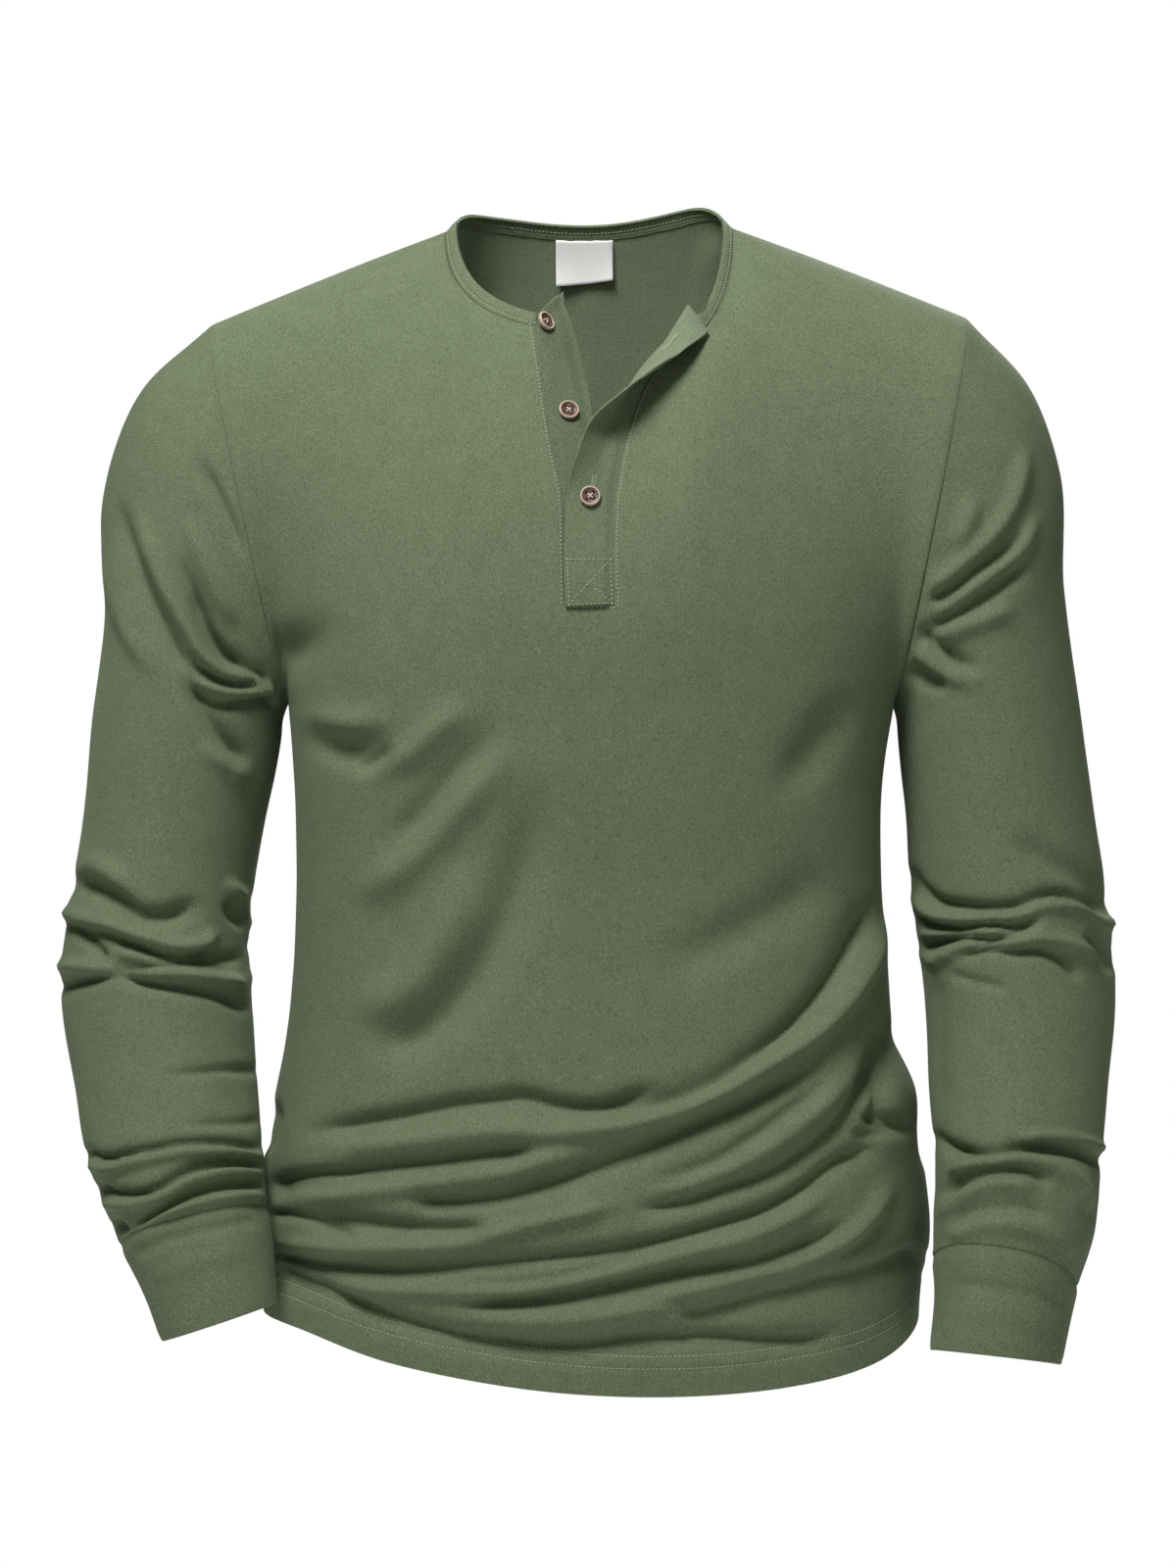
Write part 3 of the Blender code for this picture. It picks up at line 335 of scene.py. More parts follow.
class Sheet:
    """A grid of points that becomes a closed wall of cloth.

    Rows go up and columns go to the right as seen from outside, unless it is flipped.
    """

    RIM_ROUND = 0.42                # of the wall, how far a cut edge bulges

    def __init__(self, name: str, points: np.ndarray, wall: float, closed: bool = False,
                 flipped: bool = False, missing: Optional[np.ndarray] = None) -> None:
        """Keep the grid and work out its faces, normals and lengths.

        Args:
            name: name of the piece.
            points: rows by columns by 3.
            wall: thickness of the cloth.
            closed: whether the last column meets the first.
            flipped: whether the columns go to the left as seen from outside.
            missing: mask of faces that are left out, rows by columns.
        """
        self.name = name
        self.wall = wall
        self.closed = closed
        self.rows, self.columns = points.shape[:2]
        self.points = points.reshape(-1, 3).astype(float)
        rows = np.arange(self.rows - 1)[:, None]
        places = np.arange(self.columns if closed else self.columns - 1)[None, :]
        after = (places + 1) % self.columns
        low = rows * self.columns
        high = low + self.columns
        corners = [low + places, low + after, high + after, high + places]
        wide = self.columns + 1 if closed else self.columns
        marks = [rows * wide + places, rows * wide + places + 1,
                 (rows + 1) * wide + places + 1, (rows + 1) * wide + places]
        kept = np.ones(corners[0].shape, dtype=bool) if missing is None else ~missing
        self.faces = np.stack([corner[kept] for corner in corners], axis=-1)
        self.marks = np.stack([mark[kept] for mark in marks], axis=-1)
        if flipped:
            self.faces = self.faces[:, ::-1]
            self.marks = self.marks[:, ::-1]
        self.flipped = flipped
        self.normals = self.point_normals()
        self.lengths = self.measure(self.columns // 2 if not closed else 0)

    def grid(self) -> np.ndarray:
        """The points as rows by columns."""
        return self.points.reshape(self.rows, self.columns, 3)

    def grid_normals(self) -> np.ndarray:
        """The normals as rows by columns."""
        return self.normals.reshape(self.rows, self.columns, 3)

    def point_normals(self) -> np.ndarray:
        """Normal of each point, from the faces round it."""
        corners = self.points[self.faces]
        flat = np.cross(corners[:, 2] - corners[:, 0], corners[:, 3] - corners[:, 1])
        total = np.zeros_like(self.points)
        for corner in range(4):
            np.add.at(total, self.faces[:, corner], flat)
        return unit(total)

    def measure(self, middle: int) -> np.ndarray:
        """Distances across and up the cloth, for its knit.

        Args:
            middle: column that is 0 across.

        Returns:
            A pair for each mark of the grid; a closed sheet has one more column of marks.
        """
        grid = self.grid()
        if self.closed:
            grid = np.concatenate([grid, grid[:, :1]], axis=1)
        across = running_length(grid, 1)
        across = across - across[:, middle:middle + 1]
        return np.stack([across, running_length(grid, 0)], axis=-1).reshape(-1, 2)

    def move_out(self, offset: np.ndarray) -> None:
        """Move each point along its normal and work out the normals again."""
        self.points += self.normals * offset[:, None]
        self.normals = self.point_normals()

    def sink(self, top: bool = False, bottom: bool = False, sides: bool = False) -> None:
        """Draw sewn edges in, which leaves a groove along the seam.

        Args:
            top: draw in the last row.
            bottom: draw in the first row.
            sides: draw in the first and last columns.
        """
        depth = np.zeros((self.rows, self.columns))
        for number, drop in enumerate(SEAM_DROPS):
            if top:
                depth[-1 - number] = np.maximum(depth[-1 - number], drop)
            if bottom:
                depth[number] = np.maximum(depth[number], drop)
            if sides:
                depth[:, number] = np.maximum(depth[:, number], drop)
                depth[:, -1 - number] = np.maximum(depth[:, -1 - number], drop)
        self.points -= self.normals * depth.reshape(-1, 1)

    def rim(self) -> np.ndarray:
        """Directed edges that only one face uses."""
        edges = np.concatenate([self.faces[:, [corner, (corner + 1) % 4]] for corner in range(4)])
        number = edges.min(axis=1) * len(self.points) + edges.max(axis=1)
        _, inverse, counts = np.unique(number, return_inverse=True, return_counts=True)
        return edges[counts[inverse.ravel()] == 1]

    def outward(self, edges: np.ndarray) -> dict[int, np.ndarray]:
        """Direction away from the cloth at each point of the rim, longer at corners."""
        along = self.points[edges[:, 1]] - self.points[edges[:, 0]]
        away = unit(np.cross(along, self.normals[edges[:, 0]] + self.normals[edges[:, 1]]))
        pairs: dict[int, list[np.ndarray]] = {}
        for (start, end), direction in zip(edges, away):
            pairs.setdefault(int(start), []).append(direction)
            pairs.setdefault(int(end), []).append(direction)
        return {point: (pair[0] + pair[-1]) / (1.0 + pair[0] @ pair[-1])
                for point, pair in pairs.items()}

    def on(self, row: np.ndarray, place: np.ndarray, lift: float = 0.0) -> Line:
        """Points of the cloth between the lines of its grid.

        Args:
            row: rows, with fractions.
            place: columns, with fractions.
            lift: height above the outer face.

        Returns:
            The points and their normals.
        """
        row, place = np.broadcast_arrays(*(np.asarray(part, dtype=float) for part in (row, place)))
        low = np.clip(row.astype(int), 0, self.rows - 2)
        left = np.clip(place.astype(int), 0, self.columns - 2)
        up = np.clip(row - low, 0, 1)[..., None]
        right = np.clip(place - left, 0, 1)[..., None]
        values = []
        for grid in (self.grid(), self.grid_normals()):
            below = grid[low, left] * (1 - right) + grid[low, left + 1] * right
            above = grid[low + 1, left] * (1 - right) + grid[low + 1, left + 1] * right
            values.append(below * (1 - up) + above * up)
        normals = unit(values[1])
        return values[0] + normals * lift, normals

    def build(self, material: bpy.types.Material, gap: float,
              reverse: Optional[bpy.types.Material] = None) -> bpy.types.Object:
        """Close the wall, round its rim and make the piece.

        Args:
            material: what it is made of.
            gap: width of the seams to its neighbours.
            reverse: what its inner face is made of, where that differs.

        Returns:
            The piece.
        """
        edges = self.rim()
        outward = self.outward(edges)
        rim_points = np.array(sorted(outward))
        directions = np.array([outward[point] for point in rim_points])
        self.points[rim_points] -= directions * gap / 2
        inner = self.points - self.normals * self.wall
        count = len(self.points)
        middle = (self.points[rim_points] + inner[rim_points]) / 2
        middle = middle + directions * self.wall * self.RIM_ROUND
        number = np.zeros(count, dtype=int)
        number[rim_points] = 2 * count + np.arange(len(rim_points))
        start, end = edges[:, 0], edges[:, 1]
        outer_lip = np.stack([end, start, number[start], number[end]], axis=-1)
        inner_lip = np.stack([number[end], number[start], start + count, end + count], axis=-1)
        faces = np.concatenate([self.faces, self.faces[:, ::-1] + count, outer_lip, inner_lip])
        first_mark = np.zeros(count, dtype=int)
        first_mark[self.faces.ravel()] = self.marks.ravel()
        lip_marks = first_mark[np.stack([end, start, start, end], axis=-1)]
        marks = np.concatenate([self.marks, self.marks[:, ::-1], lip_marks, lip_marks])
        points = np.concatenate([self.points, inner, middle])
        piece = make_mesh(self.name + "_cloth", points, faces, material, self.lengths[marks])
        if reverse is not None:
            piece.data.materials.append(reverse)
            shown = len(self.faces)
            inside = np.zeros(len(faces), dtype=np.int32)
            inside[shown:2 * shown] = 1
            inside[2 * shown + len(edges):] = 1
            piece.data.polygons.foreach_set("material_index", inside)
        return piece


def link(name: str, data: bpy.types.ID) -> bpy.types.Object:
    """New object of the scene with the data given."""
    made = bpy.data.objects.new(name, data)
    bpy.context.scene.collection.objects.link(made)
    return made


def evaluated(guide: bpy.types.Object, name: str, material: bpy.types.Material) -> bpy.types.Object:
    """Piece with the mesh that a guide comes to; the guide itself is taken out."""
    depsgraph = bpy.context.evaluated_depsgraph_get()
    mesh = bpy.data.meshes.new_from_object(guide.evaluated_get(depsgraph))
    bpy.data.objects.remove(guide, do_unlink=True)
    mesh.name = name
    if not mesh.materials:
        mesh.materials.append(material)
    return link(name, mesh)


def make_mesh(name: str, points: np.ndarray, faces: np.ndarray, material: bpy.types.Material,
              lengths: Optional[np.ndarray] = None) -> bpy.types.Object:
    """Smooth object from points in millimetres, at the origin.

    Args:
        name: name of the piece.
        points: its points.
        faces: its faces, of four points each.
        material: what it is made of.
        lengths: distances across and up the cloth for each corner of each face.

    Returns:
        The piece, linked to the scene.
    """
    used, numbers = np.unique(faces, return_inverse=True)
    numbers = numbers.reshape(faces.shape)
    mesh = bpy.data.meshes.new(name)
    mesh.from_pydata((points[used] * MILLIMETRE).tolist(), [], numbers.tolist())
    if lengths is not None:
        layer = mesh.uv_layers.new(name=SURFACE_MAP)
        layer.data.foreach_set("uv", (lengths.reshape(-1, 2) * MILLIMETRE).ravel())
    mesh.update()
    mesh.shade_smooth()
    mesh.materials.append(material)
    return link(name, mesh)


def share_normals(sheets: Iterable[Sheet]) -> None:
    """Give points that meet at a seam one normal, so that the cloth runs on across it."""
    meeting: dict[tuple, list[tuple[Sheet, int]]] = {}
    for sheet in sheets:
        for index in np.unique(sheet.rim()):
            place = tuple(np.round(sheet.points[index], 3))
            meeting.setdefault(place, []).append((sheet, int(index)))
    for places in meeting.values():
        normals = np.array([sheet.normals[index] for sheet, index in places])
        alike = (normals @ normals.T > ALIKE).astype(int)
        for _ in places:
            alike = ((alike @ alike) > 0).astype(int)
        for order, (sheet, index) in enumerate(places):
            sheet.normals[index] = unit(normals[alike[order] > 0].sum(axis=0))


SEAM_DROPS = (0.75, 0.50, 0.20)     # how deep the rows next to a seam are drawn in
SURFACE_MAP = "surface"
ALIKE = 0.1                         # cosine from which two normals at a seam become one


# Body: front and back

# Level sections: height, left edge, right edge, depth in front, depth behind
BODY_SECTIONS = (
    # z, left, right, front, back
    (-298, -183, 183, 122, 112),
    (-348, -179, 176, 119, 108),
    (-407, -178, 175, 114, 103),
    (-467, -180, 180, 113, 102),
    (-502, -184, 184, 115, 104),
    (-532, -190, 196, 118, 107),
    (-562, -196, 197, 121, 110),
    (-615, -199, 203, 125, 114),
    (-656, -198, 199, 125, 115),
    (-705, -196, 197, 124, 114),
)
# Height of the hem across a panel
HEM = (
    # share, z
    (-1, -664), (-0.66, -669), (-0.38, -685), (0, -700),
    (0.38, -698), (0.66, -687), (0.85, -674), (1, -664),
)
# How each column of a panel leaves the armpit level and meets the shoulder or the neck
FRONT_SWEEP = (
    # share, foot_forward, foot_rise, top_forward, top_rise
    (0, 40, 240, -75, 215),
    (0.42, 45, 240, -190, 95),
    (0.70, 75, 240, -205, 40),
    (0.87, 150, 150, -240, 15),
    (1, 272, 0, -272, 0),
)
BACK_SWEEP = (
    # share, foot_forward, foot_rise, top_forward, top_rise
    (0, 30, 270, -100, 250),
    (0.25, 32, 268, -150, 190),
    (0.42, 40, 260, -250, 60),
    (0.70, 75, 240, -235, 35),
    (0.87, 150, 150, -245, 15),
    (1, 272, 0, -272, 0),
)
# Seams of the placket, from its foot to the neckline
SEAM_UNDER = (
    # z, x
    (-240, -15.4), (-212, -16), (-170, -17.8),
    (-140, -24.3), (-111, -28.5), (-64, -35.6),
)
SEAM_OVER = (
    # z, x
    (-240, 14.2), (-212, 13.2), (-170, 15.4), (-140, 20.8),
    (-122, 26), (-106, 33), (-90, 46), (-72, 66),
)
# Height of the neckline at the back
NECK_BACK = (
    # x, z
    (-88, -14), (-82.7, -8.5), (-68.8, -7.6), (-50, -8.6), (-26, -11), (0, -11.6),
    (20, -10.4), (34.5, -8.1), (56, -4.2), (68.7, -1.8), (77, -3), (86, -12),
)

# Folds across the stomach, where the shirt is pushed up, and from the armpits
BODY_FRONT_FOLDS = (
    # height, width, lean, fade_in, fade_out, crest, then x and z of each point of the path
    (-4.6, 8.5, -0.3, 35, 30, 1.5, -180, -562, -160, -556, -140, -552, -120, -549, -100, -545,
     -80, -541, -60, -539, -40, -537, -25, -541, -8, -544, 12, -543, 28, -536, 44, -527),
    (-4.6, 6.5, -0.3, 10, 22, 1.4, -198, -594, -185, -587, -170, -584, -150, -583, -130, -580,
     -110, -578, -90, -576, -70, -573, -50, -571, -30, -568),
    (-5.2, 8, -0.25, 15, 45, 1.5, -112, -598, -90, -600, -70, -599, -50, -596, -30, -590, -10, -584,
     10, -577, 30, -568, 50, -559, 70, -550, 90, -542, 110, -532, 130, -521, 148, -507),
    (-4.8, 6, 0.5, 40, 30, 1.3, 5, -550, 22, -547, 40, -544, 60, -538, 80, -528, 100, -514,
     120, -498, 143, -472, 160, -444, 173, -412),
    (5, 8, 0, 35, 35, 2, -33, -556, 6, -556, 42, -549, 74, -537, 104, -520, 130, -503, 152, -481,
     170, -451, 178, -422),
    (-4.2, 8, -0.1, 20, 14, 1.8, -172, -610, -150, -612, -130, -615, -110, -617, -90, -618,
     -75, -618, -60, -618),
    (-2.6, 4, 0, 8, 12, 1.4, -198, -609, -182, -609, -166, -613, -152, -620, -140, -627),
    (-1.6, 4, 0, 8, 15, 2, -196, -598, -182, -593, -165, -591, -148, -592),
    (-4.6, 6.5, -0.2, 8, 25, 1.4, -196, -632, -180, -636, -160, -639, -140, -641, -120, -643,
     -100, -642, -80, -640, -60, -638, -40, -636, -20, -634, 0, -632, 20, -629, 40, -625, 60, -620,
     80, -614, 100, -608, 115, -601, 130, -592, 148, -578, 165, -570, 180, -567),
    (-1.7, 4, 0, 25, 25, 2, -85, -649, -60, -651, -40, -650, -20, -647, 0, -642, 20, -636,
     42, -629),
    (-4.2, 6.5, -0.2, 25, 20, 1.4, 22, -607, 40, -604, 60, -599, 80, -592, 100, -586, 115, -580,
     130, -570, 142, -561, 152, -550, 160, -538, 168, -523, 178, -503),
    (-2.3, 6, 0, 25, 30, 2, 35, -590, 60, -583, 80, -575, 95, -565, 112, -553, 130, -540,
     148, -524),
    (-4.6, 7, -0.25, 30, 40, 1.45, -85, -664, -60, -663, -40, -661, -20, -658, 0, -654, 20, -650,
     40, -646, 60, -643, 80, -641, 100, -638, 115, -633, 130, -627, 147, -619, 162, -608),
    (-3.6, 9, -0.4, 10, 10, 1.5, 52, -668, 62, -668, 80, -664, 100, -659, 120, -654, 140, -648,
     160, -644, 180, -638, 202, -627),
    (-4.6, 7.5, -0.25, 8, 30, 1.5, -196, -642, -180, -648, -160, -654, -140, -662, -125, -669,
     -110, -674, -95, -678, -80, -682, -60, -685, -40, -687, -20, -688, 0, -687, 20, -684, 40, -683,
     60, -683, 80, -683, 110, -684, 135, -683, 155, -678),
    (-1.7, 4.5, 0, 25, 25, 2, 15, -661, 50, -661, 80, -656, 100, -650, 120, -645, 140, -637,
     160, -628, 172, -617, 183, -600),
    (-4.5, 6.5, 0, 20, 10, 1.6, 182, -488, 180, -505, 178, -520, 177, -540, 173, -558),
    (-2.6, 5, 0, 12, 12, 2, 155, -560, 172, -560, 190, -556),
    (3.2, 8, 0, 35, 35, 2, -165, -570, -130, -566, -95, -562, -55, -558, -20, -560, 10, -562),
    (2.8, 7, 0, 35, 35, 2, -190, -600, -150, -596, -115, -592, -80, -587, -45, -581, -20, -574,
     5, -566),
    (3.2, 6, 0, 35, 35, 2, -198, -625, -170, -628, -140, -629, -110, -628, -85, -626, -60, -621,
     -35, -614, 0, -606, 25, -598),
    (2.8, 6, 0, 35, 35, 2, -170, -650, -140, -653, -110, -654, -80, -655, -45, -655, -10, -650,
     25, -641, 60, -631, 95, -622, 125, -608, 150, -590),
    (3.2, 7.5, 0, 35, 35, 2, -90, -668, -60, -671, -30, -673, 0, -671, 30, -665, 60, -656, 90, -648,
     120, -641, 150, -628, 172, -607, 185, -580),
    (2.8, 8, 0, 35, 35, 2, 30, -598, 60, -590, 85, -580, 110, -566, 130, -551, 150, -533,
     162, -515),
    (-4, 11, 0, 35, 35, 2, -180, -317, -159, -325, -146, -328, -130, -322, -117, -313),
    (3, 10, 0, 35, 35, 2, -178, -297, -156, -309, -133, -310, -117, -302),
    (-3, 6, 0, 12, 15, 2, -148, -341, -133, -335, -117, -323),
    (3.5, 10, 0, 35, 35, 2, -136, -348, -107, -328, -84, -307, -65, -296),
    (-4, 13, 0, 35, 35, 2, -133, -391, -122, -388, -107, -374, -91, -354, -71, -331, -55, -306),
    (4.5, 14, 0, 50, 35, 2, -46, -312, -65, -341, -88, -370, -110, -393, -130, -409, -150, -409),
    (-5.5, 17, 0, 70, 35, 2, -33, -335, -39, -383, -54, -435, -68, -461, -88, -484, -114, -503,
     -140, -508),
    (4.5, 18, 0, 50, 35, 2, -75, -390, -88, -440, -110, -472, -150, -490),
    (-3.5, 15, 0, 35, 50, 2, 162, -286, 143, -318, 120, -348, 107, -370),
    (-3, 18, 0, 35, 60, 2, 146, -393, 126, -416, 97, -435, 65, -451, 26, -461),
    (-4.5, 7, 0, 35, 35, 2, 178, -480, 175, -503, 170, -529, 157, -552),
    (-3.5, 6, 0, 15, 12, 2, 160, -552, 181, -552, 197, -560),
    (-5, 5, 0, 15, 12, 2, -191, -535, -193, -552, -199, -575),
    (-4, 16, 0, 15, 45, 2, -195, -276, -175, -264, -146, -244),
)
BODY_BACK_FOLDS = (
    # height, width, lean, fade_in, fade_out, crest, then x and z of each point of the path
    (-6, 14, 0, 35, 35, 1.7, -185, -470, -120, -522, -40, -548, 50, -540, 125, -512, 185, -462),
    (6, 12, 0, 35, 35, 2, -180, -490, -110, -540, -30, -562, 60, -556, 130, -528, 180, -480),
    (-5, 9, 0, 35, 35, 1.6, -190, -560, -120, -580, -30, -588, 60, -580, 130, -566, 190, -535),
    (4.5, 10, 0, 35, 35, 2, -190, -575, -110, -598, -20, -604, 80, -594, 185, -560),
    (-4.5, 9, 0, 35, 35, 1.6, -190, -612, -100, -622, 0, -620, 90, -628, 195, -600),
    (4, 9, 0, 35, 35, 2, -185, -630, -90, -642, 10, -640, 100, -645, 190, -625),
    (-3, 8, 0, 35, 35, 2, -150, -655, -60, -665, 40, -660, 140, -655),
    (4.5, 20, 0, 60, 80, 2, -150, -180, -105, -280, -60, -370, -25, -450, -10, -500),
    (4.5, 20, 0, 60, 80, 2, 150, -180, 112, -280, 75, -370, 45, -440, 35, -500),
    (-4, 18, 0, 35, 60, 2, -176, -300, -135, -370, -110, -440, -120, -490),
    (-4, 18, 0, 35, 60, 2, 176, -300, 140, -365, 118, -430, 130, -485),
    (5.5, 10, 0, 14, 10, 2, 192, -572, 202, -590, 203, -625, 198, -645),
    (-3.5, 7, 0, 10, 4, 2, 178, -640, 192, -634, 205, -630),
)


@dataclass
class Body:
    """Front and back panels: a grid from the hem to the shoulders and the neckline.

    A share runs -1..1 across a panel. A level is 0 at the hem, 1 at the armpit and 2 at the top.
    """

    round_exponent: float = 2.3
    armpit_z: float = -298.0
    shoulder_left: Point = (-231.0, -71.5)
    shoulder_right: Point = (228.0, -67.0)
    shoulder_bow: float = 1.2
    neck_left: Point = (-88.0, -14.0)
    neck_right: Point = (86.0, -12.0)
    neck_share: float = 0.42
    neck_round: float = 2.5
    neck_drop_closed: float = 59.0
    neck_drop_open: float = 85.0
    neck_front: float = 74.0
    neck_back: float = 58.0
    open_from: float = -36.0
    open_over: float = 100.0
    placket_foot_z: float = -240.0
    wall: float = 1.2
    hem_depth: float = 27.0
    hem_rows: int = 20
    lower_rows: int = 190
    foot_rows: int = 19
    chest_rows: int = 62
    shoulder_columns: int = 44
    neck_columns: int = 25
    slot_columns: int = 8
    twin_lines: tuple[float, float] = (16.0, 23.0)
    twin_groove: float = 0.45
    hem_pucker: float = 0.35
    seam_fade: float = 14.0
    even_below: float = 45.0
    even_passes: int = 90
    even_from: tuple[float, float] = (0.2, 0.1)     # share from which rows are evened, and rise
    even_to: tuple[float, float] = (0.8, 0.2)       # share up to which they are, and fall
    groove_width: float = 1.3
    pucker_at: float = 18.0
    pucker_width: float = 9.0
    follow_to: float = 0.4          # level up to which rows go with the hem
    folds: FoldField = field(default_factory=lambda: FoldField(
        BODY_FRONT_FOLDS, BODY_BACK_FOLDS, strength=1.75, fineness=0.82, edge_share=0.4))

    def section(self, share: np.ndarray, z: np.ndarray, face: Face) -> np.ndarray:
        """Points of level sections at shares and heights."""
        knots = -column(BODY_SECTIONS, 0)
        left = smooth(knots, column(BODY_SECTIONS, 1), -z)
        right = smooth(knots, column(BODY_SECTIONS, 2), -z)
        depth = smooth(knots, column(BODY_SECTIONS, 3 if face is Face.FRONT else 4), -z)
        across = np.sin(share * math.pi / 2)
        y = face.value * depth * round_depth(across, self.round_exponent)
        return np.stack([(left + right) / 2 + (right - left) / 2 * across, y, z], axis=-1)

    def hem_height(self, share: np.ndarray) -> np.ndarray:
        """Height of the hem across a panel."""
        return read(HEM, share)

    def top(self, share: np.ndarray, face: Face) -> np.ndarray:
        """Upper edge of a panel: shoulder seam, neckline, shoulder seam."""
        right = share > 0
        neck_x = np.where(right, self.neck_right[0], self.neck_left[0])
        neck_z = np.where(right, self.neck_right[1], self.neck_left[1])
        tip_x = np.where(right, self.shoulder_right[0], self.shoulder_left[0])
        tip_z = np.where(right, self.shoulder_right[1], self.shoulder_left[1])
        out = np.clip((np.abs(share) - self.neck_share) / (1 - self.neck_share), 0.0, 1.0)
        height = neck_z + (tip_z - neck_z) * out + self.shoulder_bow * 4 * out * (1 - out)
        shoulder = placed(neck_x + (tip_x - neck_x) * out, np.zeros_like(out), height)
        turn = np.sin(np.clip(share / self.neck_share, -1.0, 1.0) * math.pi / 2)
        across = np.abs(neck_x) * turn
        down = round_depth(turn, self.neck_round)
        if face is Face.FRONT:
            opened = ease((across - self.open_from) / self.open_over)
            drop = self.neck_drop_closed + (self.neck_drop_open - self.neck_drop_closed) * opened
            neckline = placed(across, -self.neck_front * down, neck_z - drop * down)
        else:
            height = read(NECK_BACK, across)
            neckline = np.stack([across, self.neck_back * down, height], axis=-1)
        return np.where((np.abs(share) >= self.neck_share)[..., None], shoulder, neckline)

    def point(self, share: np.ndarray, level: np.ndarray, face: Face) -> np.ndarray:
        """Points of a panel at shares and levels."""
        share, level = np.broadcast_arrays(share, level)
        hem = self.hem_height(share)
        lower = self.section(share, hem + (self.armpit_z - hem) * np.clip(level, 0.0, 1.0), face)
        foot = self.section(share, np.full(share.shape, self.armpit_z), face)
        top = self.top(share, face)
        sweep = FRONT_SWEEP if face is Face.FRONT else BACK_SWEEP
        pull = smooth(column(sweep, 0), np.array(sweep)[:, 1:], np.abs(share))
        nothing = np.zeros(share.shape)
        foot_pull = np.stack([nothing, face.value * pull[..., 0], pull[..., 1]], axis=-1)
        top_pull = np.stack([nothing, face.value * pull[..., 2], pull[..., 3]], axis=-1)
        t = np.clip(level - 1.0, 0.0, 1.0)[..., None]
        upper = (1 + 2 * t) * (1 - t) ** 2 * foot + t * t * (3 - 2 * t) * top
        upper = upper + t * (1 - t) ** 2 * foot_pull + t * t * (t - 1) * top_pull
        return np.where((level > 1.0)[..., None], upper, lower)

    def foot_level(self) -> float:
        """Level of the placket's foot on the front."""
        levels = np.linspace(1.0, 2.0, 400)
        heights = elevation(self.point(np.zeros(400), levels, Face.FRONT))[:, 1]
        return float(np.interp(self.placket_foot_z, heights, levels))

    def seam_share(self, seam: Table, levels: np.ndarray) -> np.ndarray:
        """Share across the front where rows cross a placket seam.

        Args:
            seam: the seam's table.
            levels: levels of the rows.

        Returns:
            A share for each row.
        """
        shares = np.linspace(-self.neck_share, self.neck_share, 600)
        grid = elevation(self.point(shares[None, :], levels[:, None], Face.FRONT))
        beyond = grid[..., 0] - read(seam, grid[..., 1])
        crossing = np.argmax(beyond > 0, axis=1)
        rows = np.arange(len(levels))
        before = beyond[rows, crossing - 1]
        step = before / (before - beyond[rows, crossing])
        return shares[crossing - 1] + step * (shares[crossing] - shares[crossing - 1])

    def rows_and_levels(self) -> tuple[np.ndarray, int, int]:
        """Levels of the rows.

        Returns:
            The levels, the row of the armpit and the row of the placket's foot.
        """
        foot = self.foot_level()
        mean = self.mean_height()
        hem = spaced(0.0, self.hem_depth / mean, self.hem_rows, fine_start=True)
        lower = np.linspace(self.hem_depth / mean, 1.0, self.lower_rows + 1)[1:]
        to_foot = np.linspace(1.0, foot, self.foot_rows + 1)[1:]
        chest = spaced(foot, 2.0, self.chest_rows, fine_stop=True)[1:]
        armpit = len(hem) + len(lower) - 1
        return np.concatenate([hem, lower, to_foot, chest]), armpit, armpit + self.foot_rows

    def mean_height(self) -> float:
        """Mean height from the hem to the armpit."""
        return float(self.armpit_z - np.mean(column(HEM, 1)))

    def levelled(self, shares: np.ndarray, levels: np.ndarray) -> np.ndarray:
        """Levels of each point, which keep an even distance from the hem near it."""
        mean = self.mean_height()
        own = self.armpit_z - self.hem_height(shares)
        t = np.clip(levels[:, None], 0.0, 1.0)
        follow = ease(t / self.follow_to)
        low = t * (mean * (1 - follow) + own * follow) / own
        return np.where(levels[:, None] > 1.0, levels[:, None], low)

    def columns(self, left: float, right: float) -> np.ndarray:
        """Shares of the columns in a row that crosses the placket seams at these shares."""
        return np.concatenate([
            spaced(-1.0, -self.neck_share, self.shoulder_columns, fine_start=True)[:-1],
            np.linspace(-self.neck_share, left, self.neck_columns + 1)[:-1],
            np.linspace(left, right, self.slot_columns + 1)[:-1],
            np.linspace(right, self.neck_share, self.neck_columns + 1)[:-1],
            spaced(self.neck_share, 1.0, self.shoulder_columns, fine_stop=True),
        ])

    def hem_shape(self, sheet: Sheet, levels: np.ndarray) -> np.ndarray:
        """Grooves along the two lines of the twin needle and the puckers between them."""
        up = np.clip(levels, 0, 1)[:, None] * self.mean_height() + np.zeros((1, sheet.columns))
        along = sheet.lengths.reshape(sheet.rows, -1, 2)[..., 0]
        offset = np.zeros_like(up)
        for line in self.twin_lines:
            offset -= self.twin_groove * np.exp(-((up - line) / self.groove_width) ** 2)
        wave = np.sin(along / 4.1 + 1.3 * np.sin(along / 23.0)) * np.sin(along / 61.0 + 0.8)
        near = np.exp(-((up - self.pucker_at) / self.pucker_width) ** 2)
        offset += self.hem_pucker * wave * near
        return offset.ravel()

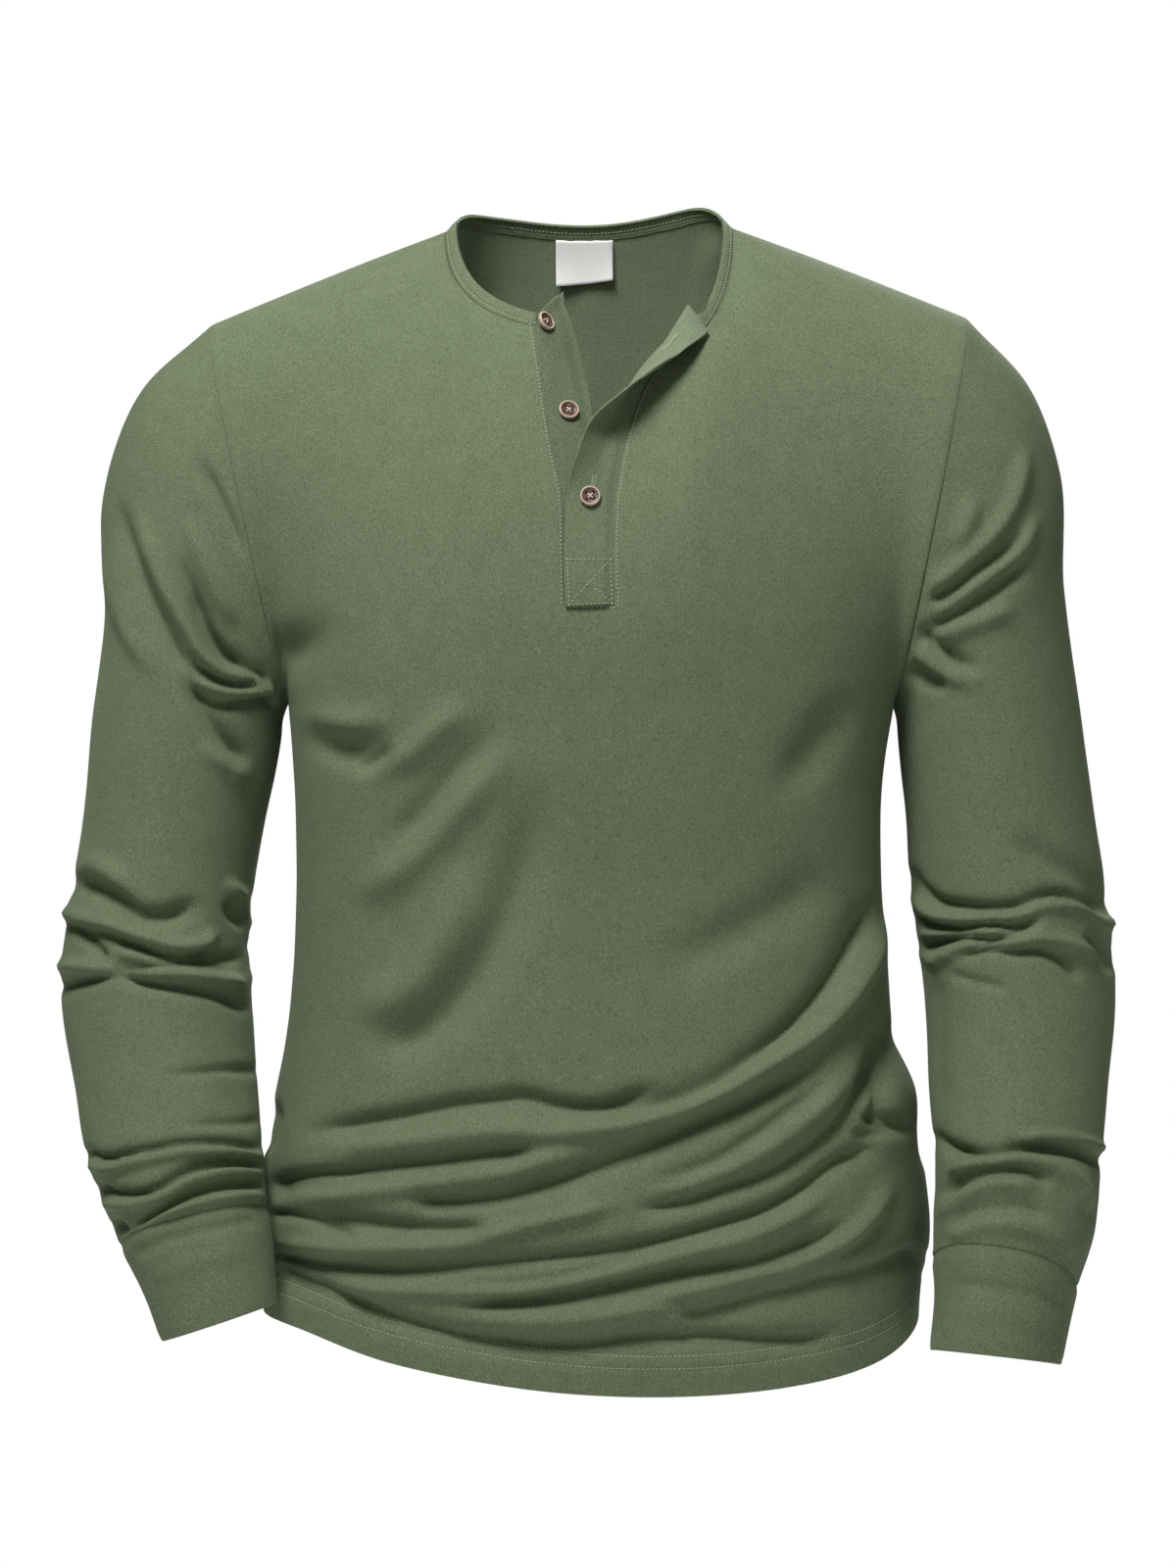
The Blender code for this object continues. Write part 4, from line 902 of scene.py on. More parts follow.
    def build(self) -> tuple[Sheet, Sheet, dict]:
        """Make both panels and fold them.

        Returns:
            The front, the back, and the edges that the other pieces are sewn to.
        """
        levels, armpit, foot = self.rows_and_levels()
        reading = np.maximum(levels, levels[foot])
        left = self.seam_share(SEAM_UNDER, reading)
        right = self.seam_share(SEAM_OVER, reading)
        shares = np.array([self.columns(*pair) for pair in zip(left, right)])
        plain = np.broadcast_to(self.columns(left[0], right[0]), shares.shape)
        slot_left = self.shoulder_columns + len(EDGE_SHARES) + self.neck_columns
        slot_right = slot_left + self.slot_columns
        missing = np.zeros((len(levels) - 1, shares.shape[1] - 1), dtype=bool)
        missing[foot:, slot_left:slot_right] = True
        panels = []
        for places, face in ((shares, Face.FRONT), (plain, Face.BACK)):
            grid = self.point(places, self.levelled(places, levels), face)
            panels.append(self.evened(grid, places, armpit))
        front = Sheet("front", panels[0], self.wall, missing=missing)
        back = Sheet("back", panels[1], self.wall, flipped=True)
        share_normals([front, back])
        hem = self.hem_shape(front, levels)
        for sheet in (front, back):
            folded = self.folds.offset(sheet.points, sheet.normals)
            sheet.move_out(folded * self.held(sheet, armpit) + hem)
        share_normals([front, back])
        for sheet in (front, back):
            sheet.sink(sides=True)
        grid, behind, normals = front.grid(), back.grid(), front.grid_normals()
        shoulder = self.shoulder_columns + len(EDGE_SHARES)
        edges = {
            "front_sides": (grid[armpit:, 0].copy(), grid[armpit:, -1].copy()),
            "back_sides": (behind[armpit:, 0].copy(), behind[armpit:, -1].copy()),
            "neck_left": grid[-1, shoulder:slot_left + 1].copy(),
            "neck_right": grid[-1, slot_right:len(grid[0]) - shoulder].copy(),
            "neck_back": behind[-1, shoulder:len(grid[0]) - shoulder].copy(),
            "under": (grid[foot:, slot_left].copy(), normals[foot:, slot_left].copy()),
            "over": (grid[foot:, slot_right].copy(), normals[foot:, slot_right].copy()),
        }
        return front, back, edges

    def evened(self, grid: np.ndarray, shares: np.ndarray, armpit: int) -> np.ndarray:
        """A panel without the ridges that its corners at the neck would send down the cloth.

        Args:
            grid: the panel's points.
            shares: their shares across it.
            armpit: the row of the armpit.

        Returns:
            The points, moved towards their neighbours in the same row.
        """
        up = running_length(grid, 0)
        place = np.abs(shares)
        above = up - up[armpit:armpit + 1]
        weight = 0.5 * ease((up[-1:] - up) / self.even_below) * ease(above / self.even_below)
        weight = weight * ease((place - self.even_from[0]) / self.even_from[1])
        weight = weight * ease((self.even_to[0] - place) / self.even_to[1])
        for _ in range(self.even_passes):
            between = (grid[:, :-2] + grid[:, 2:]) / 2 - grid[:, 1:-1]
            grid[:, 1:-1] += weight[:, 1:-1, None] * between
        near = 0.5 * ease(2 - 2 * np.abs(above) / self.even_below) * ease((1 - place) / 0.15)
        for _ in range(self.even_passes):
            between = (grid[:-2] + grid[2:]) / 2 - grid[1:-1]
            grid[1:-1] += near[1:-1, :, None] * between
        return grid

    def held(self, sheet: Sheet, armpit: int) -> np.ndarray:
        """Share of its folds that each point keeps: none at the armholes and along the top."""
        grid = sheet.grid()
        up = running_length(grid, 0)
        from_top = up[-1:] - up
        across = running_length(grid, 1)
        from_side = np.minimum(across, across[:, -1:] - across)
        below = np.clip((up[armpit:armpit + 1] - up) / self.seam_fade, 0.0, 1.0)
        side = np.maximum(ease(from_side / self.seam_fade), ease(below))
        return (side * ease(from_top / (2 * self.seam_fade))).ravel()


# Sleeves and cuffs

SLEEVE_LEFT = (
    # outer_x, outer_z, inner_x, inner_z, y, half_depth, arch
    (-231, -71.5, -183, -298, 0, 68, 0),
    (-270, -107.5, -186, -308, 0, 66, 0),
    (-295, -176, -187.5, -322, 0, 63, 0),
    (-293.5, -241, -191, -341, 0, 61, 0),
    (-301, -309, -197, -370, 0, 60, 0),
    (-307, -370, -203, -406, -1, 58, 0),
    (-317, -432, -207, -445, -5, 57, 0),
    (-320, -468, -206, -470, -9, 56, 0),
    (-312, -532, -202, -530, -26, 51, 0),
    (-303, -580, -199, -568, -44, 47, 2),
    (-293.5, -606, -198, -586, -54, 45, 6),
    (-285, -627, -196, -604, -62, 41, 10.5),
)
CUFF_LEFT = (
    # outer_x, outer_z, inner_x, inner_z, y, half_depth, arch
    (-285, -627, -196, -604, -62, 41, 10.5),
    (-270.5, -655, -192.5, -633, -69, 37, 6),
    (-259, -684.5, -190, -661.5, -75, 34, 2.5),
)
SLEEVE_RIGHT = (
    # outer_x, outer_z, inner_x, inner_z, y, half_depth, arch
    (228, -67, 183, -298, 0, 68, 0),
    (262, -104, 185, -308, 0, 66, 0),
    (283, -160, 186, -322, 0, 63, 0),
    (286, -228, 188, -343, 0, 61, 0),
    (294, -292, 191, -371, 0, 60, 0),
    (303, -355, 193.5, -408, -1, 58, 0),
    (313, -425, 199, -447, -5, 57, 0),
    (316.5, -467, 201.5, -472, -9, 56, 0),
    (311.5, -540, 204.5, -535, -26, 51, 1),
    (307, -590, 208.5, -580, -44, 47, 6),
    (304, -622, 207, -609, -54, 45, 12),
    (294.5, -652, 206.5, -634, -60, 42, 18),
)
CUFF_RIGHT = (
    # outer_x, outer_z, inner_x, inner_z, y, half_depth, arch
    (294.5, -652, 206.5, -634, -60, 42, 18),
    (289, -675, 208.5, -659, -65, 38, 11),
    (283.5, -699, 206, -690, -70, 35, 5),
)

# Folds that radiate from the armpit, stack up at the elbow and are pushed up above the cuff
LEFT_FRONT_FOLDS = (
    # height, width, lean, fade_in, fade_out, crest, then x and z of each point of the path
    (-3.5, 5.5, 0, 20, 18, 2, -240, -148, -230, -166, -222, -181, -214, -197, -207, -214),
    (3, 8, 0, 35, 20, 2, -248, -180, -238, -205, -226, -232, -214, -256),
    (-4, 6, 0, 35, 12, 2, -252, -205, -246, -221, -236, -244, -226, -264, -218, -273, -207, -271),
    (4.5, 8, 0, 35, 10, 2, -276, -176, -267, -205, -257, -230, -244, -254, -234, -272, -220, -283,
     -196, -285),
    (-5, 8, 0, 35, 35, 1.7, -287, -170, -281, -203, -271, -230, -259, -254, -248, -274, -236, -293),
    (3.5, 9, 0, 35, 35, 2, -297, -196, -289, -230, -276, -262, -260, -288),
    (-5.5, 5, 0, 15, 6, 1.6, -243, -266, -238, -276, -226, -285, -200, -288),
    (4, 5.5, 0, 15, 6, 2, -244, -283, -230, -290, -214, -293, -190, -290),
    (-4.5, 4.8, 0, 12, 5, 1.5, -242, -288, -233, -297, -225, -300, -212, -299, -190, -297),
    (-3.6, 4.8, 0, 16, 5, 1.5, -243, -230, -236, -250, -228, -262, -218, -272, -205, -280,
     -194, -283),
    (-5, 7, 0, 20, 15, 1.7, -248, -278, -242, -289, -233, -305, -220, -323, -205, -337),
    (3.5, 8, 0, 20, 15, 2, -236, -320, -222, -336, -205, -350),
    (3, 9, 0, 12, 20, 2, -311, -394, -297, -398, -283, -409, -272, -418),
    (-6, 9, 0, 6, 20, 2, -322, -406, -306, -410, -290, -417, -273, -428, -254, -428, -233, -418),
    (5, 6.5, 0, 6, 14, 2, -322, -424, -306, -431, -290, -435, -270, -441, -247, -447, -233, -443,
     -228, -432),
    (-5, 5, 0, 10, 15, 1.5, -322, -430, -313, -434, -294, -438, -277, -446, -260, -452, -241, -453,
     -222, -448),
    (3.5, 5, 0, 12, 15, 2, -290, -449, -276, -452, -254, -456, -233, -454),
    (-4.5, 4.5, 0, 8, 8, 1.5, -311, -436, -302, -444, -292, -457),
    (-4, 4.5, 0, 15, 12, 1.5, -296, -459, -281, -460, -265, -459, -244, -456, -208, -453),
    (4.5, 6.5, 0, 6, 15, 2, -325, -458, -310, -459, -294, -462, -267, -462, -241, -464, -205, -470),
    (-5.5, 5, 0, 6, 15, 1.5, -328, -473, -308, -467, -286, -464, -270, -468, -249, -471, -225, -476,
     -202, -487),
    (3, 6, 0, 10, 8, 2, -222, -405, -214, -413, -204, -419),
    (-5, 6.5, 0, 8, 6, 2, -218, -416, -214, -428, -205, -433),
    (-2.5, 4.5, 0, 35, 6, 2, -265, -524, -241, -523, -220, -521, -198, -522),
    (-2, 4.5, 0, 35, 6, 2, -258, -554, -228, -554, -198, -552),
    (-4.5, 4.5, 0, 6, 8, 1.6, -308, -568, -298, -575, -281, -572, -265, -569, -246, -566,
     -223, -565, -196, -570),
    (4, 5.5, 0, 6, 8, 2, -306, -576, -294, -580, -273, -576, -246, -571, -223, -571, -196, -574),
    (-5, 4.5, 0, 8, 8, 1.6, -302, -588, -290, -596, -273, -596, -262, -592, -246, -583, -223, -578,
     -196, -579),
    (4, 5.5, 0, 8, 8, 2, -298, -600, -284, -602, -270, -601, -256, -596, -241, -588, -220, -583,
     -196, -584),
    (-4.5, 4, 0, 6, 8, 1.6, -292, -611, -280, -618, -268, -610, -254, -603, -241, -597, -223, -592,
     -196, -590),
    (3.5, 5, 0, 8, 8, 2, -285, -618, -270, -617, -254, -608, -233, -601, -196, -597),
)
RIGHT_FRONT_FOLDS = (
    # height, width, lean, fade_in, fade_out, crest, then x and z of each point of the path
    (3.6, 7.5, 0, 22, 10, 2, 261, -140, 261, -152, 258, -171, 248, -191, 232, -209, 214, -224,
     200, -233),
    (-3.6, 5.5, 0, 22, 8, 1.5, 262, -190, 257, -201, 245, -211, 230, -221, 220, -229, 203, -237),
    (3.2, 7, 0, 22, 10, 2, 270, -180, 263, -201, 251, -215, 236, -226, 224, -236, 203, -249),
    (-3.8, 6.5, 0, 22, 8, 1.6, 272, -210, 253, -224, 241, -233, 224, -243, 203, -254),
    (3, 8, 0, 22, 8, 2, 262, -240, 240, -248, 222, -254, 205, -260),
    (-4.5, 6, 0, 8, 20, 1.7, 196, -252, 212, -266, 224, -275, 240, -280),
    (3.5, 6.5, 0, 8, 20, 2, 196, -266, 208, -276, 222, -284, 238, -289),
    (-4, 7, 0, 6, 15, 2, 190, -276, 204, -285, 220, -289),
    (3, 9, 0, 15, 12, 2, 232, -170, 228, -190, 218, -206),
    (-3.5, 11, 0, 25, 6, 2, 252, -375, 272, -391, 290, -401, 303, -409, 315, -425),
    (-5.5, 6.5, 0, 10, 6, 1.7, 190, -396, 199, -412, 209, -420, 224, -423, 242, -424, 261, -422,
     274, -417, 290, -417, 301, -421, 315, -430),
    (5, 6, 0, 8, 6, 2, 192, -412, 205, -425, 221, -429, 242, -429, 258, -427, 272, -421, 290, -421,
     303, -425, 318, -436),
    (-4.5, 4, 0, 8, 15, 1.5, 194, -426, 205, -433, 221, -435, 240, -433, 258, -434, 275, -430),
    (3.5, 5, 0, 8, 15, 2, 196, -438, 218, -439, 240, -438, 262, -438, 280, -434),
    (-5, 4.5, 0, 8, 15, 1.5, 196, -450, 209, -444, 224, -441, 242, -442, 258, -439, 276, -437),
    (4, 6, 0, 10, 12, 2, 206, -455, 232, -446, 254, -445, 272, -442, 292, -446, 308, -455),
    (-4.5, 5, 0, 15, 12, 1.6, 214, -452, 240, -448, 258, -449, 272, -449, 285, -455, 298, -468),
    (3.5, 6, 0, 6, 10, 2, 196, -446, 204, -453, 216, -460),
    (-4, 7, 0, 10, 8, 2, 298, -436, 310, -447, 318, -464),
    (-2, 4.5, 0, 10, 12, 2, 214, -461, 226, -466, 240, -469, 254, -474),
    (-2, 8, 0, 14, 20, 1.6, 209, -462, 209, -490, 210, -527, 211, -552),
    (-6.5, 5.5, 0, 8, 4, 1.5, 203, -558, 216, -567, 229, -571, 245, -572, 258, -569, 277, -569,
     295, -571, 312, -577),
    (4, 5, 0, 15, 4, 2, 256, -563, 277, -562, 295, -564, 312, -570),
    (5, 8, 0, 12, 12, 2, 214, -586, 229, -579, 248, -575, 266, -576, 282, -581, 295, -592,
     301, -608),
    (-4.5, 6.5, 0, 10, 15, 1.7, 207, -600, 221, -590, 234, -584, 250, -582, 266, -583, 282, -592),
    (3.5, 7, 0, 10, 15, 2, 208, -612, 224, -598, 240, -591, 258, -590, 274, -595),
    (-2.5, 8, 0, 12, 15, 2, 214, -616, 232, -607, 258, -604, 280, -612),
    (3, 9, 0, 12, 10, 2, 212, -624, 232, -616, 258, -615, 280, -622, 294, -634),
)
LEFT_BACK_FOLDS = (
    # height, width, lean, fade_in, fade_out, crest, then x and z of each point of the path
    (4, 9, 0, 35, 35, 2, -285, -160, -262, -210, -238, -250, -200, -282),
    (-4, 8, 0, 35, 35, 1.7, -292, -190, -272, -238, -246, -272, -205, -296),
    (3.5, 9, 0, 35, 35, 2, -296, -225, -276, -266, -245, -292, -205, -312),
    (-5, 7, 0, 8, 8, 1.6, -322, -412, -285, -420, -245, -424, -200, -416),
    (5, 7, 0, 8, 8, 2, -322, -425, -285, -434, -245, -437, -200, -430),
    (-5, 6, 0, 8, 8, 1.6, -322, -440, -285, -446, -245, -448, -200, -446),
    (4, 7, 0, 8, 8, 2, -325, -456, -285, -460, -245, -462, -200, -466),
    (-4.5, 5, 0, 8, 8, 1.6, -308, -568, -270, -570, -235, -564, -196, -566),
    (4, 6, 0, 8, 8, 2, -304, -580, -270, -582, -235, -574, -196, -574),
    (-4.5, 5, 0, 8, 8, 1.6, -300, -594, -265, -596, -230, -586, -196, -584),
)
RIGHT_BACK_FOLDS = (
    # height, width, lean, fade_in, fade_out, crest, then x and z of each point of the path
    (4, 9, 0, 35, 35, 2, 278, -150, 258, -200, 236, -240, 198, -274),
    (-4, 8, 0, 35, 35, 1.7, 286, -185, 268, -232, 242, -268, 202, -290),
    (3.5, 9, 0, 35, 35, 2, 290, -222, 272, -262, 242, -290, 200, -308),
    (-5, 7, 0, 8, 8, 1.6, 194, -408, 235, -420, 275, -424, 318, -418),
    (5, 7, 0, 8, 8, 2, 196, -420, 235, -433, 275, -438, 320, -432),
    (-5, 6, 0, 8, 8, 1.6, 197, -438, 240, -448, 280, -450, 321, -446),
    (4, 7, 0, 8, 8, 2, 199, -455, 240, -462, 280, -464, 321, -460),
    (-5.5, 5.5, 0, 8, 8, 1.6, 205, -566, 240, -574, 275, -576, 312, -582),
    (4.5, 7, 0, 8, 8, 2, 207, -580, 240, -590, 275, -592, 308, -598),
    (-4, 6, 0, 8, 8, 1.6, 208, -598, 240, -606, 275, -610, 304, -616),
)

CUFF_LEFT_FOLDS = (
    # height, width, lean, fade_in, fade_out, crest, then x and z of each point of the path
    (-1.8, 6, 0, 10, 14, 2, -280, -634, -254, -623, -221, -615, -196, -611),
    (1, 8, 0, 15, 14, 2, -270, -648, -240, -638, -205, -630),
)
CUFF_RIGHT_FOLDS = (
    # height, width, lean, fade_in, fade_out, crest, then x and z of each point of the path
    (-1.2, 6, 0, 14, 10, 2, 212, -650, 240, -652, 268, -658, 290, -668),
    (0.8, 8, 0, 14, 14, 2, 214, -668, 248, -668, 280, -680),
)


def section_ring(section: np.ndarray, rise: np.ndarray, sign: np.ndarray) -> np.ndarray:
    """One ring of a sleeve.

    Args:
        section: a row of a sleeve's table.
        rise: for each point, 0 at the inner edge and 1 at the outer edge.
        sign: for each point, -1 in front and 1 behind.

    Returns:
        The ring's points.
    """
    outer_x, outer_z, inner_x, inner_z, y, half_depth, arch = section
    outer = placed(outer_x, y, outer_z)
    inner = placed(inner_x, y, inner_z)
    bulge = np.sqrt(np.maximum(0.0, 1 - (2 * rise - 1) ** 2))
    ring = inner + (outer - inner) * rise[:, None]
    ring[:, 1] += sign * half_depth * bulge
    ring[:, 2] += arch * bulge * (sign < 0)
    return ring


@dataclass
class Sleeve:
    """Sleeve whose first ring is the armhole edge of the two panels, and its cuff."""

    side: Side
    sections: Table
    cuff_sections: Table
    folds: FoldField
    cuff_folds: FoldField
    wall: float = 1.2
    cuff_wall: float = 1.8
    row_count: int = 205
    cuff_rows: int = 26
    armhole_fade: float = 45.0
    fold_fade: float = 12.0
    cuff_roll: float = 0.9
    cuff_join: float = 0.15         # of the cuff, over which it takes up the sleeve's last ring
    cuff_swell: float = 0.12        # of the cuff, over which its roll and its folds begin
    cuff_edge: float = 0.1          # of the cuff, over which it draws in at its edge

    def build(self, edges: dict) -> tuple[Sheet, Sheet]:
        """Make the sleeve and the cuff.

        Args:
            edges: the body's edges.

        Returns:
            The sleeve and the cuff.
        """
        number = 0 if self.side is Side.LEFT else 1
        front, back = edges["front_sides"][number], edges["back_sides"][number]
        armhole = np.concatenate([front, back[-2:0:-1]])
        low, high = armhole[:, 2].min(), armhole[:, 2].max()
        rise = (armhole[:, 2] - low) / (high - low)
        sign = np.where(armhole[:, 1] < 0, -1.0, 1.0)
        table = np.array(self.sections)
        knots = running_length((table[:, :2] + table[:, 2:4]) / 2, 0)
        places = spaced(0.0, knots[-1], self.row_count, fine_start=True, fine_stop=True)
        rings = np.array([section_ring(row, rise, sign) for row in smooth(knots, table, places)])
        kept = 1 - ease(places / self.armhole_fade)
        rings += (armhole - rings[0]) * kept[:, None, None]
        flipped = self.side is Side.RIGHT
        sleeve = Sheet("sleeve_" + self.side.value, rings, self.wall, closed=True, flipped=flipped)
        offset = self.folds.offset(sleeve.points, sleeve.normals).reshape(sleeve.rows, -1)
        fade = ease(places / self.fold_fade) * ease((places[-1] - places) / (self.fold_fade / 2))
        sleeve.move_out((offset * fade[:, None]).ravel())
        sleeve.sink(top=True)
        return sleeve, self.cuff(sleeve, rise, sign)

    def cuff(self, sleeve: Sheet, rise: np.ndarray, sign: np.ndarray) -> Sheet:
        """Cuff that carries on from the sleeve's last ring, folded at its lower edge."""
        shares = spaced(0.0, 1.0, self.cuff_rows, fine_start=True, fine_stop=True)
        table = np.array(self.cuff_sections)
        sections = smooth(np.linspace(0.0, 1.0, len(table)), table, shares)
        rings = np.array([section_ring(row, rise, sign) for row in sections])
        last = sleeve.grid()[-1]
        rings += (last - rings[0]) * (1 - ease(shares / self.cuff_join))[:, None, None]
        cuff = Sheet("cuff_" + self.side.value, rings, self.cuff_wall, closed=True,
                     flipped=sleeve.flipped)
        swell = ease(shares / self.cuff_swell)
        puff = self.cuff_roll * (swell - 0.4 * ease((shares - 0.9) / self.cuff_edge))
        kept = np.repeat(swell, cuff.columns)
        wave = self.cuff_folds.offset(cuff.points, cuff.normals) * kept
        cuff.move_out(np.repeat(puff, cuff.columns) + wave)
        return cuff


# Neckband and placket

@dataclass
class Neckband:
    """Bound edge that stands on the neckline from one placket strip round the back to the other."""

    width: float = 10.0
    rise_front: float = 0.78
    rise_back: float = 0.86
    inward: float = 0.55
    wall: float = 1.8
    row_count: int = 12
    roll: float = 0.8
    stitch_height: float = 2.2
    groove: float = 0.35
    over_end: tuple[float, float, float] = (63.7, -50.0, -63.7)
    rise_over: float = 45.0
    slant_over: float = 42.0
    even_passes: int = 14

    def lean(self, point: np.ndarray) -> np.ndarray:
        """Direction towards the middle of the neck."""
        return unit(-point * np.array([1.0, 1.0, 0.0]))

    def build(self, edges: dict) -> Sheet:
        """Make the band on the body's neckline."""
        left, right = edges["neck_left"][::-1], edges["neck_right"][::-1]
        base = np.concatenate([left, edges["neck_back"][1:-1], right])
        behind = ease(1 + base[:, 1] / self.rise_over)
        direction = self.lean(base) * self.inward
        direction[:, 2] += self.rise_front + (self.rise_back - self.rise_front) * behind
        shares = spaced(0.0, 1.0, self.row_count, fine_start=True, fine_stop=True)
        run = running_length(base, 0)
        slant = self.top_over() - base[-1] - direction[-1] * self.width
        slant = ease(1 - (run[-1] - run) / self.slant_over)[:, None] * slant
        upper = base + direction * self.width + slant
        for _ in range(self.even_passes):
            upper[1:-1] += 0.5 * ((upper[:-2] + upper[2:]) / 2 - upper[1:-1])
        grid = base + (upper - base) * shares[:, None, None]
        sheet = Sheet("neckband", grid, self.wall, flipped=True)
        round_out = self.roll * np.sin(np.pi * np.clip(shares, 0, 1)) ** 0.8
        round_out -= self.groove * np.exp(-((shares * self.width - self.stitch_height) / 0.8) ** 2)
        columns = np.arange(sheet.columns)
        pucker = 0.15 * np.sin(columns * 1.9) * np.sin(columns * 0.53)
        sheet.move_out((round_out[:, None] + pucker * np.sin(np.pi * shares)[:, None]).ravel())
        return sheet

    def top_over(self) -> np.ndarray:
        """Upper corner of its end at the over strip, which it meets at a slant."""
        return placed(*np.array(self.over_end))

    def extension(self, edge: np.ndarray, over: bool) -> np.ndarray:
        """Points that carry a placket seam on to the upper edge of the band.

        Args:
            edge: the seam, from the foot up to the neckline.
            over: whether it is the over strip's seam.

        Returns:
            The further points.
        """
        direction = self.lean(edge[-1]) * self.inward + np.array([0.0, 0.0, self.rise_front])
        end = self.top_over() if over else edge[-1] + direction * self.width
        count = 10 if over else 5
        return edge[-1] + (end - edge[-1]) * np.linspace(0.0, 1.0, count)[1:, None]


# How far each placket strip is turned at a height: the under strip inwards, the over strip outwards
TURN_UNDER = (
    # z, degrees, crease, bend
    (-240, 0, 6, 12), (-140, 4, 6, 12), (-111, 12, 4.5, 12),
    (-87, 31, 3, 11), (-60, 64, 0, 10),
)
# Where the over strip turns at a height, and the way that its free part then points
TURN_OVER = (
    # z, crease, bend, x, y, z
    (-240, 9, 12, -1, 0, 0),
    (-176, 9, 12, -0.98, -0.16, 0.02),
    (-150, 9, 12, -0.82, -0.56, 0.09),
    (-136, 8.5, 12, -0.62, -0.77, 0.12),
    (-124, 7, 10, -0.27, -0.96, 0.08),
    (-112, 6, 8, 0.04, -1, -0.02),
    (-100, 6, 6, 0.17, -0.94, -0.28),
    (-89.5, 6, 5, 0.27, -0.86, -0.43),
    (-76, 6, 5, 0.40, -0.68, -0.61),
    (-64, 6, 5, 0.51, -0.36, -0.77),
)


@dataclass
class Placket:
    """Two strips: the one with the buttonholes lies on the one with the buttons.

    It turns out above, and the other one turns in.
    """

    width: float = 28.0
    wall: float = 1.4
    lift: float = 1.9
    under_rise: float = 27.0
    rise_from: float = -110.0
    rise_over: float = 50.0
    flap_from: float = -190.0
    flap_over: float = 35.0
    column_count: int = 26
    steady_rows: int = 9            # of the lower strip at its top, which point the same way
    under_from: float = 17.0        # mm from its seam, where the lower strip starts to go under
    under_over: float = 8.0
    over_over: float = 6.0          # mm from its seam, where the upper strip lies on top
    wave: float = 0.5

    def frame(self, edge: np.ndarray, other: np.ndarray) -> np.ndarray:
        """Direction from one seam towards the other, square to the seam."""
        along = unit(np.gradient(edge, axis=0))
        across = other - edge
        return unit(across - np.sum(across * along, axis=1, keepdims=True) * along)

    def strip(self, name: str, edge: np.ndarray, other: np.ndarray, normals: np.ndarray,
              lift: Callable[[np.ndarray], np.ndarray]) -> Sheet:
        """One strip of the placket.

        Args:
            name: name of the piece.
            edge: its seam, from the foot up.
            other: the other strip's seam.
            normals: normals of the front along its seam.
            lift: height above the seam at a distance from it.

        Returns:
            The strip.
        """
        side = self.frame(edge, other)
        places = spaced(0.0, self.width, self.column_count, fine_start=True, fine_stop=True)
        middle = (places[:-1] + places[1:]) / 2
        heights = elevation(edge)[:, 1]
        over = name == "placket_over"
        table = TURN_OVER if over else TURN_UNDER
        sizes = smooth(column(table, 0), np.array(table)[:, 1:], heights)
        if over:
            crease, bend, free_way = sizes[:, 0], sizes[:, 1], unit(sizes[:, 2:])
            known = ease((heights - self.flap_from) / self.flap_over)[:, None]
            free_way = unit(side * (1 - known) + free_way * known)
        else:
            steady = len(edge) - self.steady_rows
            side[steady:], normals[steady:] = side[steady], normals[steady]
            turn, crease, bend = np.radians(-sizes[:, 0]), sizes[:, 1], sizes[:, 2]
            free_way = side * np.cos(turn)[:, None] + normals * np.sin(turn)[:, None]
        turned = ease((middle[None, :] - crease[:, None]) / bend[:, None] + 0.5)[..., None]
        doubled = np.clip(-np.sum(side * free_way, axis=1), 0.0, 1.0)[:, None, None]
        way = unit(side[:, None] * (1 - turned) + free_way[:, None] * turned
                   + normals[:, None] * 4 * doubled * turned * (1 - turned))
        moves = way * np.diff(places)[None, :, None]
        path = np.concatenate([edge[:, None], edge[:, None] + np.cumsum(moves, axis=1)], axis=1)
        path = path + normals[:, None] * lift(places)[None, :, None]
        if not over:
            raised = ease((heights - self.rise_from) / self.rise_over)[:, None]
            path[..., 2] += self.under_rise * raised * places / self.width
        sheet = Sheet(name, path, self.wall, flipped=over)
        free = ease((places - crease[0]) / (self.width - crease[0]))
        height = running_length(edge, 0)
        swing = np.sin(height / 13.0 + 0.6) * np.sin(height / 31.0) + 0.4 * np.sin(height / 6.1)
        sheet.move_out((self.wave * swing[:, None] * free[None, :]).ravel())
        return sheet

    def build(self, edges: dict, band: Neckband) -> tuple[Sheet, Sheet]:
        """Make both strips in the front's slot."""
        under, under_normals = self.lengthened(edges["under"], band, over=False)
        over, over_normals = self.lengthened(edges["over"], band, over=True)
        def sunk(place: np.ndarray) -> np.ndarray:
            """How far the lower strip lies above the front."""
            return -self.lift * ease((place - self.under_from) / self.under_over)

        def raised(place: np.ndarray) -> np.ndarray:
            """How far the upper strip does."""
            return self.lift * ease(place / self.over_over)

        lower = self.strip("placket_under", under, self.matching(over, under), under_normals, sunk)
        upper = self.strip("placket_over", over, self.matching(under, over), over_normals, raised)
        return lower, upper

    def matching(self, seam: np.ndarray, to: np.ndarray) -> np.ndarray:
        """A seam with as many points as another one, its last point repeated or left out."""
        return seam[np.minimum(np.arange(len(to)), len(seam) - 1)]

    def lengthened(self, seam: Line, band: Neckband, over: bool) -> Line:
        """A seam's points and normals, carried on to the upper edge of the band."""
        edge, normals = seam
        more = band.extension(edge, over)
        last = np.repeat(normals[-1:], len(more), axis=0)
        return np.vstack([edge, more]), np.vstack([normals, last])


# Label and buttons

